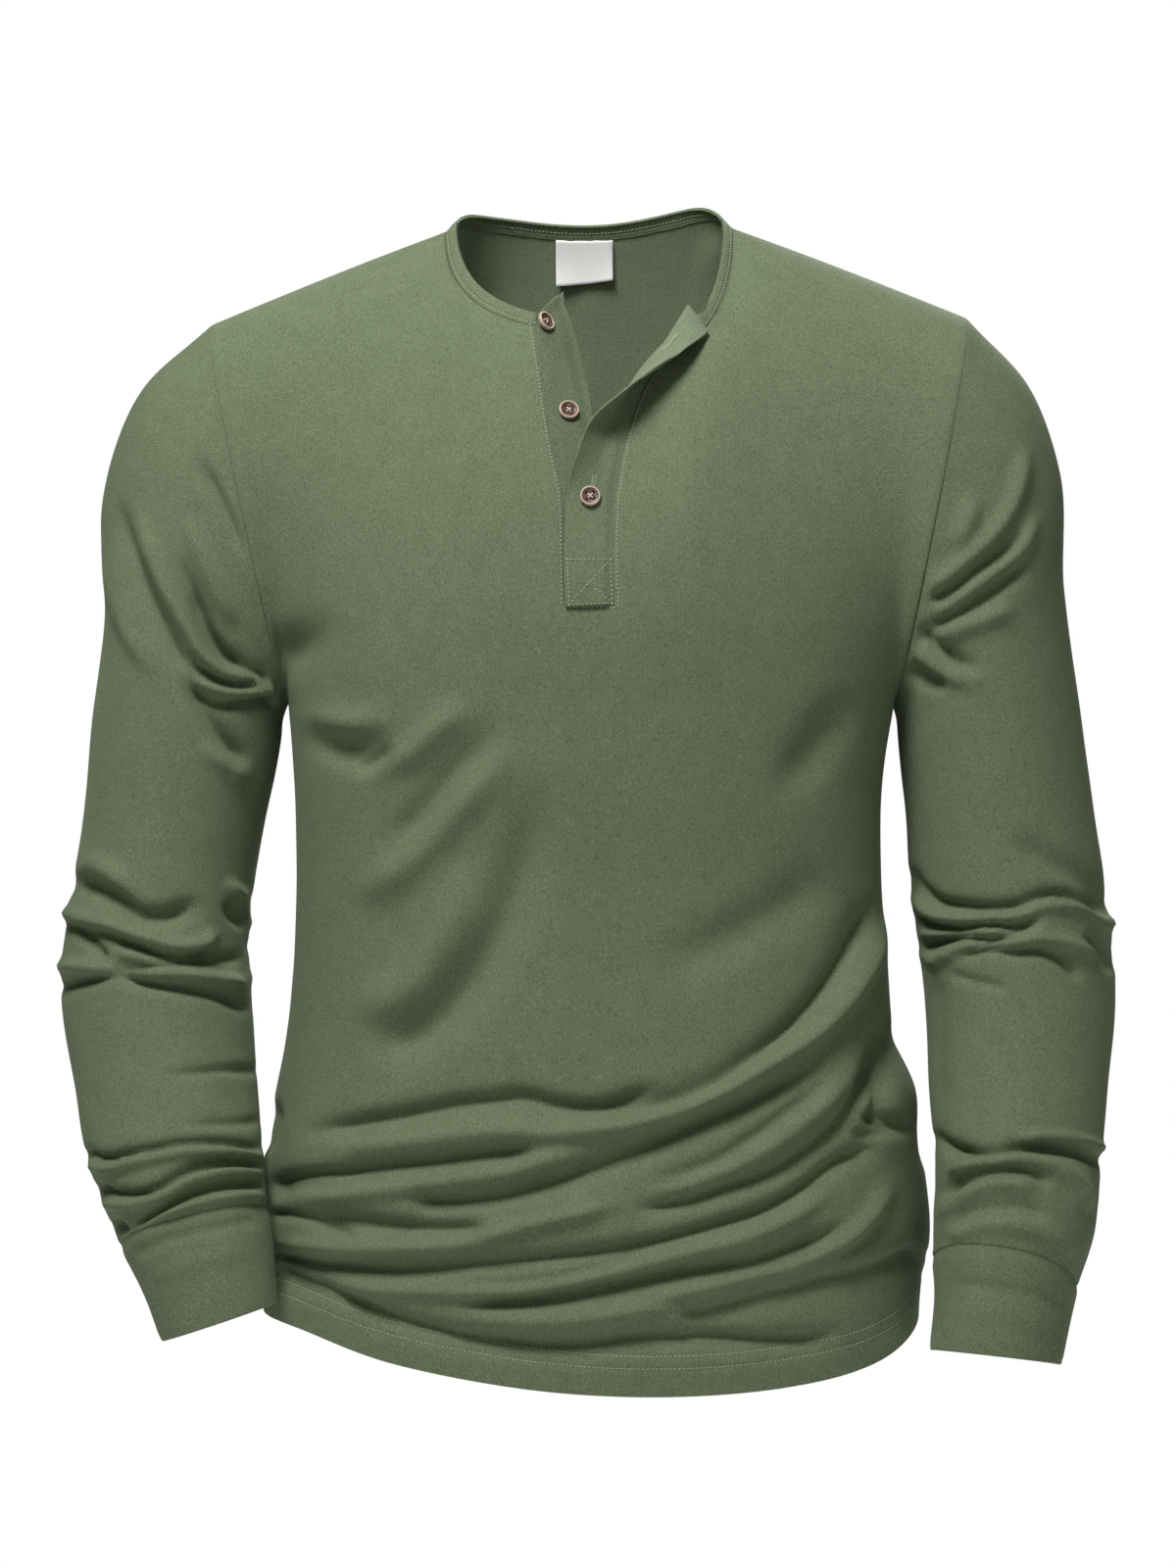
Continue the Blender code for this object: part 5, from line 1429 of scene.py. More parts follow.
@dataclass
class NeckLabel:
    """Satin label that hangs from the neck seam on the inside of the back, with nothing on it."""

    left: float = -21.0
    right: float = 13.0
    top: float = -18.6
    low_left: float = -46.5
    low_right: float = -42.9
    inside: float = 3.1
    wall: float = 0.5
    row_count: int = 16
    column_count: int = 20
    curl: float = 1.6

    def build(self, back: Sheet) -> Sheet:
        """Make the label on the back's inner face."""
        down = np.linspace(0.0, 1.0, self.row_count + 1)[::-1]
        across = np.linspace(0.0, 1.0, self.column_count + 1)
        seen = elevation(back.grid())
        middle = back.columns // 2
        low = self.low_left + (self.low_right - self.low_left) * across
        heights = self.top + (low - self.top) * down[:, None]
        rows = np.interp(heights, seen[:, middle, 1], np.arange(back.rows))
        level = int(np.interp(low.mean(), seen[:, middle, 1], np.arange(back.rows)))
        wanted = self.left + (self.right - self.left) * across
        places = np.interp(wanted, seen[level, :, 0], np.arange(back.columns))
        points, normals = back.on(rows, places[None, :])
        wave = 0.35 * np.sin(across * 7.0 + 0.6)[None, :] * down[:, None]
        curl = self.curl * (down ** 2.5)[:, None] * (1 + 0.35 * np.cos(across * 5.0))[None, :]
        stand = self.inside + curl + wave
        return Sheet("neck_label", points - normals * stand[..., None], self.wall)


@dataclass
class Button:
    """Four-hole button with a pale raised rim round a dark dish, sewn through a placket strip."""

    name: str
    x: float
    z: float
    radius: float = 6.0
    stand: float = 0.5
    turn: float = 0.0
    sideways: float = 0.0           # how much it faces to the right
    hole_place: float = 1.75
    hole_radius: float = 0.95
    hole_depth: float = 1.3
    hole_edge: float = 0.26         # over which its wall goes down
    strand_gap: float = 0.22        # between the strands of its thread
    strand_rise: float = 0.28       # of the strands above its face
    cells: int = 76
    place: np.ndarray = field(default_factory=lambda: np.zeros(3))
    axes: np.ndarray = field(default_factory=lambda: np.eye(3))

    # Height of the upper face by radius
    TOP = (
        # radius, height
        (0, 1.62), (3.8, 1.68), (4.3, 1.82), (4.6, 2.15), (4.9, 2.45),
        (5.25, 2.58), (5.6, 2.48), (5.85, 2.1), (6, 1.6),
    )
    # Height of the lower face by radius
    BOTTOM = (
        # radius, height
        (0, 0), (5, 0), (5.6, 0.2), (6, 0.85),
    )

    def seat(self, strip: Sheet) -> None:
        """Find its place on a placket strip.

        Args:
            strip: the strip that it is sewn to.
        """
        seen = elevation(strip.points)
        distance = np.hypot(seen[:, 0] - self.x, seen[:, 1] - self.z)
        order = np.argsort(distance)[:4]
        weights = 1.0 / (1.0 + distance[order])
        weights /= weights.sum()
        normal = (strip.normals[order] * weights[:, None]).sum(axis=0)
        normal = unit(normal + np.array([self.sideways, 0.0, 0.0]))
        self.place = (strip.points[order] * weights[:, None]).sum(axis=0) + normal * self.stand
        side = unit(np.cross(np.array([0.0, 0.0, 1.0]), normal))
        up = np.cross(normal, side)
        cosine, sine = math.cos(self.turn), math.sin(self.turn)
        self.axes = np.array([side * cosine + up * sine, up * cosine - side * sine, normal])

    def at(self, local: np.ndarray) -> np.ndarray:
        """Real places of points given on the button: across, up and out."""
        return self.place + local @ self.axes

    def build(self, material: bpy.types.Material) -> bpy.types.Object:
        """Make the button: two discs of square cells, joined at their rim."""
        step = np.linspace(-1.0, 1.0, self.cells + 1)
        u, v = np.meshgrid(step, step)
        wide = np.abs(u) > np.abs(v)
        radius = np.where(wide, u, v)
        safe = np.where(radius == 0, 1.0, radius)
        angle = np.where(wide, math.pi / 4 * v / safe, math.pi / 2 - math.pi / 4 * u / safe)
        x = radius * np.cos(angle) * self.radius
        y = radius * np.sin(angle) * self.radius
        reach = np.hypot(x, y)
        top = read(self.TOP, reach)
        for across in (-1, 1):
            for up in (-1, 1):
                hole = np.hypot(x - across * self.hole_place, y - up * self.hole_place)
                outside = ease((hole - self.hole_radius + 0.12) / self.hole_edge)
                top -= self.hole_depth * (1 - outside)
        bottom = np.interp(reach, column(self.BOTTOM, 0), column(self.BOTTOM, 1))
        points = np.concatenate([self.at(np.stack([x, y, height], axis=-1).reshape(-1, 3))
                                 for height in (top, bottom)])
        sheet = Sheet(self.name, np.stack([x, y, top], axis=-1), 1.0)
        edges = sheet.rim()
        count = len(sheet.points)
        start, end = edges[:, 0], edges[:, 1]
        lip = np.stack([end, start, start + count, end + count], axis=-1)
        faces = np.concatenate([sheet.faces, sheet.faces[:, ::-1] + count, lip])
        marks = np.tile(np.stack([reach, top], axis=-1).reshape(-1, 2), (2, 1))
        return make_mesh(self.name + "_resin", points, faces, material, marks[faces])

    def threads(self) -> list[np.ndarray]:
        """Strands that cross between its holes."""
        strands = []
        t = np.linspace(-1.0, 1.0, 13)
        face = self.TOP[0][1]
        for sign in (-1, 1):
            for shift in (-self.strand_gap, 0.0, self.strand_gap):
                x = self.hole_place * t - sign * shift * 0.7
                y = sign * self.hole_place * t + shift * 0.7
                out = face + self.strand_rise + self.strand_gap * (sign > 0)
                out = out + 0.1 * (1 - abs(shift) * 2)
                out = out - 1.5 * np.abs(t) ** 6
                strands.append(self.at(np.stack([x, y, out], axis=-1)))
        return strands


def tubes(name: str, paths: Iterable[np.ndarray], radius: float,
          material: bpy.types.Material) -> bpy.types.Object:
    """Round strands along paths, as one mesh with closed ends."""
    curve = bpy.data.curves.new(name, "CURVE")
    curve.dimensions = "3D"
    curve.bevel_depth = radius * MILLIMETRE
    curve.bevel_resolution = 2
    curve.use_fill_caps = True
    for path in paths:
        spline = curve.splines.new("POLY")
        spline.points.add(len(path) - 1)
        places = np.column_stack([path * MILLIMETRE, np.ones(len(path))])
        spline.points.foreach_set("co", places.ravel())
    piece = evaluated(link(name + "_curve", curve), name, material)
    piece.data.shade_smooth()
    return piece


# Stitching

@dataclass(frozen=True)
class Stitch:
    """One stitch of thread and how often it comes."""

    pitch: float
    along: float
    across: float
    height: float


HEM_STITCH = Stitch(2.6, 1.9, 0.8, 0.7)
TOP_STITCH = Stitch(2.4, 1.8, 0.85, 0.7)
BUTTONHOLE_STITCH = Stitch(0.42, 0.46, 1.5, 0.5)


class Graph:
    """A node tree and the one way of adding to it."""

    COLOUR_A, COLOUR_B, COLOUR_OUT = 6, 7, 2    # sockets of a mix node that are its colours

    def __init__(self, tree: bpy.types.NodeTree) -> None:
        self.tree = tree

    def feed(self, node: bpy.types.Node, sockets: dict) -> None:
        """Give inputs of a node a value each, or the output that feeds them."""
        for key, value in sockets.items():
            if isinstance(value, bpy.types.NodeSocket):
                self.tree.links.new(value, node.inputs[key])
            else:
                node.inputs[key].default_value = value

    def add(self, kind: str, sockets: Optional[dict] = None, **settings: object) -> bpy.types.Node:
        """Add a node.

        Args:
            kind: type of the node.
            sockets: for each input, a value or the output that feeds it.
            settings: properties of the node.

        Returns:
            The node.
        """
        node = self.tree.nodes.new(kind)
        for key, value in settings.items():
            setattr(node, key, value)
        self.feed(node, sockets or {})
        return node

    def math(self, operation: str, *values: object) -> bpy.types.NodeSocket:
        """Result of a sum on one, two or three numbers."""
        return self.add("ShaderNodeMath", dict(enumerate(values)), operation=operation).outputs[0]

    def noise(self, grain: float, **more: float) -> bpy.types.NodeSocket:
        """Noise with a grain given in millimetres, fixed to the piece."""
        place = self.add("ShaderNodeTexCoord").outputs["Object"]
        sockets = {"Vector": place, "Scale": 1 / (grain * MILLIMETRE), **more}
        return self.add("ShaderNodeTexNoise", sockets).outputs["Fac"]

    def spread(self, value: bpy.types.NodeSocket, low: float, high: float,
               **settings: str) -> bpy.types.NodeSocket:
        """Share from 0 to 1 of the way from a low value to a high one."""
        sockets = {"Value": value, "From Min": low, "From Max": high}
        return self.add("ShaderNodeMapRange", sockets, **settings).outputs[0]

    def mix(self, share: bpy.types.NodeSocket, low: object, high: object) -> bpy.types.NodeSocket:
        """Colour at a share of the way from one colour to another."""
        sockets = {"Factor": share, self.COLOUR_A: low, self.COLOUR_B: high}
        return self.add("ShaderNodeMix", sockets, data_type="RGBA").outputs[self.COLOUR_OUT]

    def bump(self, height: bpy.types.NodeSocket, strength: float,
             distance: float) -> bpy.types.NodeSocket:
        """Normal that a height gives, of the strength and depth in metres given."""
        sockets = {"Height": height, "Strength": strength, "Distance": distance}
        return self.add("ShaderNodeBump", sockets).outputs[0]

    def surface(self) -> dict:
        """Distances across and up the surface, which its map holds."""
        lengths = self.add("ShaderNodeUVMap", uv_map=SURFACE_MAP).outputs["UV"]
        return self.add("ShaderNodeSeparateXYZ", {0: lengths}).outputs


def stitch_nodes() -> bpy.types.NodeTree:
    """Node group that sets a stitch of thread at every pitch along the edges of a mesh."""
    tree = bpy.data.node_groups.new("stitching", "GeometryNodeTree")
    face = tree.interface
    face.new_socket("Geometry", in_out="INPUT", socket_type="NodeSocketGeometry")
    for name in ("Pitch", "Along", "Across", "Height"):
        face.new_socket(name, in_out="INPUT", socket_type="NodeSocketFloat")
    face.new_socket("Thread", in_out="INPUT", socket_type="NodeSocketMaterial")
    face.new_socket("Geometry", in_out="OUTPUT", socket_type="NodeSocketGeometry")
    graph = Graph(tree)
    given = graph.add("NodeGroupInput").outputs
    curve = graph.add("GeometryNodeMeshToCurve", {"Mesh": given["Geometry"]})
    even = graph.add("GeometryNodeResampleCurve", {
        "Curve": curve.outputs[0], "Length": given["Pitch"]}, mode="LENGTH")
    bead = graph.add("GeometryNodeMeshIcoSphere", {"Radius": 0.5, "Subdivisions": 2})
    size = graph.add("ShaderNodeCombineXYZ", {
        "X": given["Along"], "Y": given["Across"], "Z": given["Height"]})
    shaped = graph.add("GeometryNodeTransform", {
        "Geometry": bead.outputs["Mesh"], "Scale": size.outputs[0]})
    tangent = graph.add("GeometryNodeInputTangent")
    out = graph.add("GeometryNodeInputNamedAttribute", {"Name": "out"}, data_type="FLOAT_VECTOR")
    along = graph.add("FunctionNodeAlignRotationToVector", {"Vector": tangent.outputs[0]}, axis="X")
    upright = graph.add("FunctionNodeAlignRotationToVector", {
        "Rotation": along.outputs[0], "Vector": out.outputs["Attribute"]}, axis="Z", pivot_axis="X")
    placed_stitches = graph.add("GeometryNodeInstanceOnPoints", {
        "Points": even.outputs[0], "Instance": shaped.outputs[0], "Rotation": upright.outputs[0]})
    real = graph.add("GeometryNodeRealizeInstances", {"Geometry": placed_stitches.outputs[0]})
    smoothed = graph.add("GeometryNodeSetShadeSmooth", {"Geometry": real.outputs[0]})
    thread = graph.add("GeometryNodeSetMaterial", {
        "Geometry": smoothed.outputs[0], "Material": given["Thread"]})
    graph.add("NodeGroupOutput", {"Geometry": thread.outputs[0]})
    return tree


def stitched(name: str, lines: Sequence[Line], stitch: Stitch, nodes: bpy.types.NodeTree,
             material: bpy.types.Material) -> bpy.types.Object:
    """Rows of stitches as one piece.

    Args:
        name: name of the piece.
        lines: for each row, its points and the directions out of the cloth.
        stitch: the stitch and its pitch.
        nodes: the node group that sets them.
        material: what the thread is made of.

    Returns:
        The piece.
    """
    points = np.concatenate([line[0] for line in lines])
    out = np.concatenate([line[1] for line in lines])
    ends = np.cumsum([len(line[0]) for line in lines]) - 1
    edges = [(index, index + 1) for index in range(len(points) - 1) if index not in ends]
    mesh = bpy.data.meshes.new(name + "_lines")
    mesh.from_pydata((points * MILLIMETRE).tolist(), edges, [])
    directions = mesh.attributes.new("out", "FLOAT_VECTOR", "POINT").data
    directions.foreach_set("vector", out.astype(np.float32).ravel())
    guide = link(name + "_lines", mesh)
    modifier = guide.modifiers.new("stitching", "NODES")
    modifier.node_group = nodes
    values = {key.title(): size * MILLIMETRE for key, size in asdict(stitch).items()}
    values["Thread"] = material
    for item in nodes.interface.items_tree:
        if item.in_out == "INPUT" and item.name in values:
            modifier[item.identifier] = values[item.name]
    bpy.context.view_layer.update()
    return evaluated(guide, name, material)


@dataclass
class Sewing:
    """Where the rows of stitches run."""

    body: Body
    front: Sheet
    back: Sheet
    over: Sheet
    band: Sheet
    levels: np.ndarray
    foot: int
    slot_left: int
    slot_right: int
    lift: float = 0.12
    beside: float = 2.2
    box_top: float = -212.5
    box_low: float = -238.6
    box_inset: float = 1.4
    cross_at: tuple[float, float] = (10.6, -230.0)
    below_box: float = 0.45
    strip_width: float = 28.0
    band_outside: float = 2.2       # height of the row on the neckband
    band_inside: float = 4.6        # and of the one on its inner face
    hole_half: float = 0.75         # half the width of a buttonhole
    HOLES = (
        # low, high, place, on the inner face
        (-178.0, -164.0, 14.0, False), (-90.0, -78.0, 14.0, True),
    )

    def hem(self) -> list[Line]:
        """Two rows all the way round, above the hem's edge."""
        heights = self.levels * self.body.mean_height()
        lines = []
        for sheet in (self.front, self.back):
            places = np.linspace(0.0, sheet.columns - 1.001, 4 * sheet.columns)
            for line in self.body.twin_lines:
                row = np.interp(line, heights, np.arange(len(heights)))
                lines.append(self.row_on(sheet, row, places))
        return lines

    def beside_seam(self, seam: int, sign: int) -> Line:
        """Row on the front along a placket seam."""
        grid = self.front.grid()
        rows = np.arange(self.foot, self.front.rows)
        spacing = np.linalg.norm(grid[rows, seam] - grid[rows, seam + sign], axis=1)
        return self.front.on(rows - 0.001, seam + sign * self.beside / spacing, self.lift)

    def strip_line(self, sheet: Sheet, z: Sequence[float], place: Sequence[float],
                   inner: bool = False) -> Line:
        """Row between places on a strip, given by height and by distance from its seam."""
        grid = sheet.grid()
        heights = elevation(grid[:, 0])[:, 1]
        reach = running_length(grid, 1)[len(grid) // 4]
        share = np.linspace(0.0, 1.0, 40)
        knots = np.linspace(0.0, 1.0, len(z))
        rows = np.interp(np.interp(share, knots, z), heights, np.arange(len(heights)))
        places = np.interp(np.interp(share, knots, place), reach, np.arange(len(reach)))
        return self.row_on(sheet, rows, places, inner)

    def row_on(self, sheet: Sheet, rows: np.ndarray, places: np.ndarray,
               inner: bool = False) -> Line:
        """Row of stitches at places of a sheet's grid, on its outer or its inner face."""
        points, normals = sheet.on(rows, places, -(sheet.wall + self.lift) if inner else self.lift)
        return points, -normals if inner else normals

    def placket(self) -> list[Line]:
        """Rows beside both seams, and the box with its cross at the foot."""
        left, right = self.box_inset, self.strip_width - self.box_inset
        low, top = self.box_low, self.box_top
        corners = [
            ((low, low), (left, right)), ((top, top), (left, right)),
            ((low, top), (left, left)), ((low, top), (right, right)),
            ((low, top), (right, left)), ((low, self.cross_at[1]), (left, self.cross_at[0])),
        ]
        lines = [self.strip_line(self.over, *pair) for pair in corners]
        lines.append(self.beside_seam(self.slot_left, -1))
        lines.append(self.beside_seam(self.slot_right, 1))
        across = np.linspace(self.slot_left, self.slot_right, 24)
        lines.append(self.front.on(self.foot - self.below_box, across, self.lift))
        return lines

    def neck(self) -> list[Line]:
        """Row near the band's lower edge outside, and the same one seen inside the back."""
        shares = running_length(self.band.grid(), 0)[:, 0]
        places = np.linspace(0.0, self.band.columns - 1.001, 4 * self.band.columns)
        lines = []
        for height, inner in ((self.band_outside, False), (self.band_inside, True)):
            row = np.interp(height, shares, np.arange(len(shares)))
            lines.append(self.row_on(self.band, row, places, inner))
        return lines

    def buttonholes(self) -> list[Line]:
        """Both sides of each buttonhole."""
        lines = []
        for low, high, place, inner in self.HOLES:
            for shift in (-self.hole_half, self.hole_half):
                beside = (place + shift, place + shift)
                lines.append(self.strip_line(self.over, (low, high), beside, inner))
        return lines


# Finishes

def linear(code: str, factor: float = 1.0) -> tuple[float, float, float, float]:
    """Linear colour of an sRGB hex code, lightened or darkened by a factor."""
    values = [int(code[place:place + 2], 16) / 255 for place in (1, 3, 5)]
    values = [value / 12.92 if value <= 0.04045 else ((value + 0.055) / 1.055) ** 2.4
              for value in values]
    return (*(value * factor for value in values), 1.0)


@dataclass(frozen=True)
class Finish:
    """What a piece is made of: a material whose shader gets what its surface says."""

    name: str

    def surface(self, graph: "Graph") -> dict:
        """What its nodes feed to the shader."""
        raise NotImplementedError

    def make(self) -> bpy.types.Material:
        """Build the material."""
        material = bpy.data.materials.new(self.name)
        material.use_nodes = True
        graph = Graph(material.node_tree)
        graph.feed(material.node_tree.nodes["Principled BSDF"], self.surface(graph))
        return material


@dataclass(frozen=True)
class Jersey(Finish):
    """Knitted jersey of spun polyester: fine grain, faint wales and a soft matt nap."""

    name: str = "polyester_jersey"
    light: str = "#707B61"
    dark: str = "#465037"
    grain: float = 0.85             # mm, drawn coarser than the yarn so that it shows
    grain_low: float = 0.29         # of its noise, from which it is drawn
    grain_high: float = 0.71
    cloud: float = 14.0             # mm
    wale: float = 1.6               # mm, drawn coarser than the real ribs
    course: float = 1.1             # mm
    wale_share: float = 0.65        # of the knit's pattern; the courses have the rest
    speck_share: float = 0.9        # of the tone that the grain sets
    knit_share: float = 0.09
    cloud_share: float = 0.22
    bump: float = 0.45
    depth: float = 0.0004           # m
    roughness: float = 0.86
    sheen: float = 0.14
    sheen_tint: str = "#A9B495"

    def surface(self, graph: Graph) -> dict:
        """What its nodes feed to the shader."""
        across_up = graph.surface()
        turn = 2 * math.pi / MILLIMETRE
        wale = graph.math("SINE", graph.math("MULTIPLY", across_up["X"], turn / self.wale))
        course = graph.math("SINE", graph.math("MULTIPLY", across_up["Y"], turn / self.course))
        knit = graph.math("MULTIPLY", course, 1 - self.wale_share)
        knit = graph.math("MULTIPLY_ADD", wale, self.wale_share, knit)
        grain = graph.noise(self.grain, Detail=2.0, Roughness=0.6)
        cloud = graph.math("SUBTRACT", graph.noise(self.cloud, Detail=2.0), 0.5)
        speck = graph.spread(grain, self.grain_low, self.grain_high)
        tone = graph.math("MULTIPLY_ADD", speck, self.speck_share, (1 - self.speck_share) / 2)
        tone = graph.math("MULTIPLY_ADD", knit, self.knit_share, tone)
        tone = graph.math("MULTIPLY_ADD", cloud, self.cloud_share, tone)
        height = graph.math("MULTIPLY_ADD", grain, 0.8, graph.math("MULTIPLY", knit, 0.5))
        return {
            "Base Color": graph.mix(tone, linear(self.dark), linear(self.light)),
            "Normal": graph.bump(height, self.bump, self.depth),
            "Roughness": self.roughness,
            "Sheen Weight": self.sheen,
            "Sheen Roughness": 0.5,
            "Sheen Tint": linear(self.sheen_tint),
            "Specular IOR Level": 0.25,
        }


@dataclass(frozen=True)
class Resin(Finish):
    """Cast polyester button: a plum-brown face with a paler horn-coloured rim, half matt, and
    painted shade in its holes.
    """

    name: str = "button_resin"
    face: str = "#553A37"
    rim: str = "#C2AC96"
    # painted shade: near black on the floor of each hole, since the holes do not go through
    hole: str = "#1A1313"
    streak: float = 5.0             # mm
    rim_starts: float = 4.55        # mm from the middle
    hole_depth: float = 1.45        # mm above the lower face, below which it is a hole and is painted dark as its shade
    roughness: float = 0.38

    def surface(self, graph: Graph) -> dict:
        """What its nodes feed to the shader."""
        radius_height = graph.surface()
        streaks = graph.noise(self.streak, Detail=3.0, Distortion=1.2)
        uneven = graph.math("SUBTRACT", streaks, 0.5)
        at = graph.math("MULTIPLY_ADD", uneven, 0.0007, radius_height["X"])
        rim = graph.spread(at, self.rim_starts * MILLIMETRE, (self.rim_starts + 0.35) * MILLIMETRE,
                           interpolation_type="SMOOTHSTEP")
        # Deep in a hole the colour turns to the painted shade
        depth = graph.spread(radius_height["Y"], (self.hole_depth - 0.5) * MILLIMETRE,
                             self.hole_depth * MILLIMETRE)
        mixed = graph.mix(rim, linear(self.face), linear(self.rim))
        shade = graph.mix(graph.math("MULTIPLY", streaks, 0.45), mixed, linear(self.face, 0.7))
        whole = graph.mix(depth, linear(self.hole), shade)
        return {"Base Color": whole, "Roughness": self.roughness}


@dataclass(frozen=True)
class Plain(Finish):
    """Thread or satin: one colour, slightly uneven, with its own gloss."""

    colour: str
    roughness: float
    sheen: float = 0.0
    fibre: float = 0.6              # mm
    uneven: float = 0.18
    bump: float = 0.25
    depth: float = 0.0002           # m

    def surface(self, graph: Graph) -> dict:
        """What its nodes feed to the shader."""
        fibre = graph.noise(self.fibre)
        dark = linear(self.colour, 1 - self.uneven)
        return {
            "Base Color": graph.mix(fibre, dark, linear(self.colour)),
            "Normal": graph.bump(fibre, self.bump, self.depth),
            "Roughness": self.roughness,
            "Sheen Weight": self.sheen,
        }


# Studio

@dataclass(frozen=True)
class Lamp:
    """Square soft box that looks at the middle of the shirt."""

    name: str
    place: tuple[float, float, float]
    size: float
    power: float


@dataclass
class Studio:
    """Camera, lamps, sky and a pale floor."""

    camera_at: tuple[float, float, float] = (-0.0018, -2.55, -0.348)
    lens: float = 96.75
    middle: tuple[float, float, float] = (0.0, 0.0, -0.35)
    floor_z: float = -1.15
    floor_half: float = 1.6
    backdrop: float = 1.0           # brightness of what the camera sees behind the shirt
    sky: float = 0.135              # brightness of the light from all round
    sky_tint: tuple[float, float, float] = (1.0, 1.0, 0.84)
    lamps: Sequence[Lamp] = (
        Lamp("key", (-0.50, -1.25, 1.45), 0.7, 63.0),
        Lamp("fill", (1.5, -2.4, 0.8), 1.4, 7.0),
        Lamp("top", (0.2, 0.3, 2.0), 1.2, 9.0),
        Lamp("behind", (0.6, 2.3, 1.5), 1.2, 60.0),
    )

    def build(self) -> None:
        """Make the studio."""
        camera = link("camera", bpy.data.cameras.new("camera"))
        camera.data.lens = self.lens
        camera.data.clip_end = 50.0
        camera.location = self.camera_at
        camera.rotation_euler = (math.pi / 2, 0.0, 0.0)
        bpy.context.scene.camera = camera
        for lamp in self.lamps:
            light = bpy.data.lights.new(lamp.name, "AREA")
            light.size = lamp.size
            light.energy = lamp.power
            holder = link(lamp.name, light)
            holder.location = lamp.place
            toward = Vector(self.middle) - Vector(lamp.place)
            holder.rotation_euler = toward.to_track_quat("-Z", "Y").to_euler()
        world = bpy.data.worlds.new("sky")
        world.use_nodes = True
        graph = Graph(world.node_tree)
        seen = graph.add("ShaderNodeLightPath").outputs["Is Camera Ray"]
        strength = graph.math("MULTIPLY_ADD", seen, self.backdrop - self.sky, self.sky)
        background = world.node_tree.nodes["Background"]
        tint = graph.add("ShaderNodeMix", {
            "Factor": seen, 6: (*self.sky_tint, 1.0), 7: (1.0, 1.0, 1.0, 1.0)}, data_type="RGBA")
        world.node_tree.links.new(tint.outputs[2], background.inputs["Color"])
        world.node_tree.links.new(strength, background.inputs["Strength"])
        bpy.context.scene.world = world
        bpy.context.scene.view_settings.view_transform = "Standard"
        self.floor()

    def floor(self) -> None:
        """Pale floor well below the hem."""
        half = self.floor_half
        mesh = bpy.data.meshes.new("floor")
        corners = [(-half, -half), (half, -half), (half, half), (-half, half)]
        mesh.from_pydata([(x, y, self.floor_z) for x, y in corners], [], [(0, 1, 2, 3)])
        mesh.materials.append(Plain("floor_paper", "#F6F6F6", 0.9, uneven=0.01).make())
        link("floor", mesh)


# The whole shirt

@dataclass(frozen=True)
class Cut:
    """Flat size of a sheet of cloth, in metres, and the share of that rectangle that it fills."""

    width: float
    length: float
    filled: float
    held: str
    rests_on: tuple[str, ...]


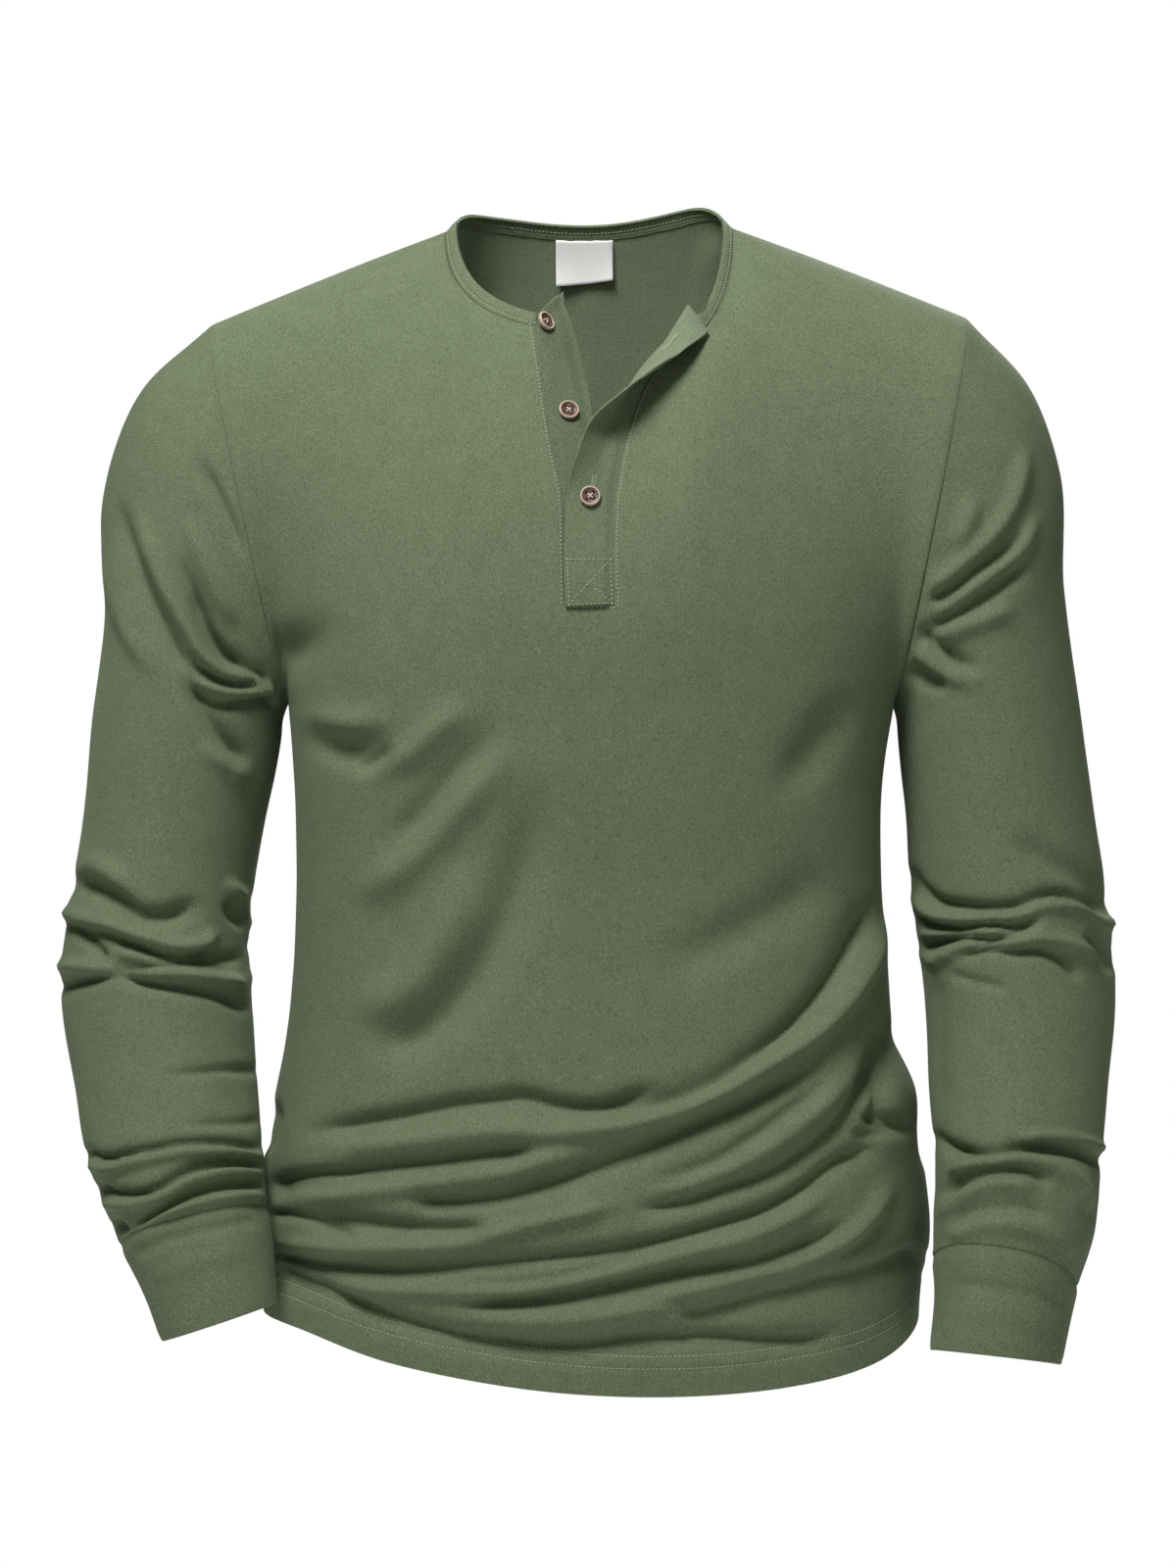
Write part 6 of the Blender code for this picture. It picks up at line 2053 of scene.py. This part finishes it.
@dataclass
class Shirt:
    """All the pieces of the shirt, made in the order in which they are sewn."""

    seam_gap: float = 0.4
    strand: float = 0.14            # radius of the buttons' thread
    body: Body = field(default_factory=Body)
    band: Neckband = field(default_factory=Neckband)
    placket: Placket = field(default_factory=Placket)
    label: NeckLabel = field(default_factory=NeckLabel)
    sleeves: Sequence[Sleeve] = field(default_factory=lambda: (
        Sleeve(Side.LEFT, SLEEVE_LEFT, CUFF_LEFT, FoldField(LEFT_FRONT_FOLDS, LEFT_BACK_FOLDS),
               FoldField(CUFF_LEFT_FOLDS)),
        Sleeve(Side.RIGHT, SLEEVE_RIGHT, CUFF_RIGHT, FoldField(RIGHT_FRONT_FOLDS, RIGHT_BACK_FOLDS),
               FoldField(CUFF_RIGHT_FOLDS)),
    ))
    buttons: Sequence[Button] = field(default_factory=lambda: (
        Button("button_top", -29.0, -69.5, stand=1.6, turn=0.3, sideways=0.55),
        Button("button_middle", -13.6, -122.0, turn=-0.2),
        Button("button_bottom", -0.6, -174.0, turn=0.1),
    ))

    def build(self) -> None:
        jersey = Jersey().make()
        # Inner face of the back: the jersey's paler reverse, lightened further as painted light on
        # the shaded inside of the neck.
        inner = Jersey(name="polyester_jersey_reverse_painted_light", light="#848F74", dark="#5F6A4F").make()
        # Under strip: the jersey darkened as painted shade, for a strip that is turned away from
        # the light.
        painted_shade_jersey = Jersey(name="polyester_jersey_painted_shade", light="#66715A", dark="#3F4832").make()
        flap = Jersey(name="polyester_jersey_facing", light="#7B866D", dark="#56604A").make()
        thread = Plain("sewing_thread", "#8A977A", 0.6, sheen=0.2).make()
        front, back, edges = self.body.build()
        levels, _, foot = self.body.rows_and_levels()
        log.info("body: %d points", len(front.points) + len(back.points))
        sheets = [front, back]
        for sleeve in self.sleeves:
            sheets += sleeve.build(edges)
        band = self.band.build(edges)
        under, over = self.placket.build(edges, self.band)
        sheets += [band, under, over]
        share_normals(sheets)
        log.info("sheets made")
        slot_left = self.body.shoulder_columns + len(EDGE_SHARES) + self.body.neck_columns
        sewing = Sewing(self.body, front, back, over, band, levels, foot, slot_left,
                        slot_left + self.body.slot_columns)
        rows = {
            "stitches_hem": (sewing.hem(), HEM_STITCH),
            "stitches_placket": (sewing.placket(), TOP_STITCH),
            "stitches_neckband": (sewing.neck(), TOP_STITCH),
            "stitches_buttonholes": (sewing.buttonholes(), BUTTONHOLE_STITCH),
        }
        for button, strip in zip(self.buttons, (under, under, over)):
            button.seat(strip)
        label = self.label.build(back)
        cloths = {back.name: (jersey, inner), over.name: (jersey, flap), under.name: (painted_shade_jersey, None)}
        for sheet in sheets:
            cloth, reverse = cloths.get(sheet.name, (jersey, None))
            self.declare(sheet.build(cloth, self.seam_gap, reverse), sheet.name)
        satin = Plain("label_satin", "#FDFDFC", 0.35, uneven=0.02).make()
        self.declare(label.build(satin, 0.0), label.name)
        resin = Resin().make()
        for button in self.buttons:
            self.declare(button.build(resin), button.name)
        strands = [strand for button in self.buttons for strand in button.threads()]
        pale = Plain("button_thread", "#C9BFA6", 0.6).make()
        self.declare(tubes("button_threads", strands, self.strand, pale))
        nodes = stitch_nodes()
        for name, (lines, stitch) in rows.items():
            self.declare(stitched(name, lines, stitch, nodes, thread))
        log.info("pieces declared")

    def declare(self, piece: bpy.types.Object, node: Optional[str] = None) -> None:
        """Attach a piece to the body and hide the part of the model that it stands in for."""
        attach(piece, BODY)
        if node is None:
            return
        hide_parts(node)


def main() -> None:
    """Make the shirt and the studio round it."""
    logging.basicConfig(level=logging.INFO)
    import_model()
    Shirt().build()
    Studio().build()


if __name__ == "__main__":
    main()
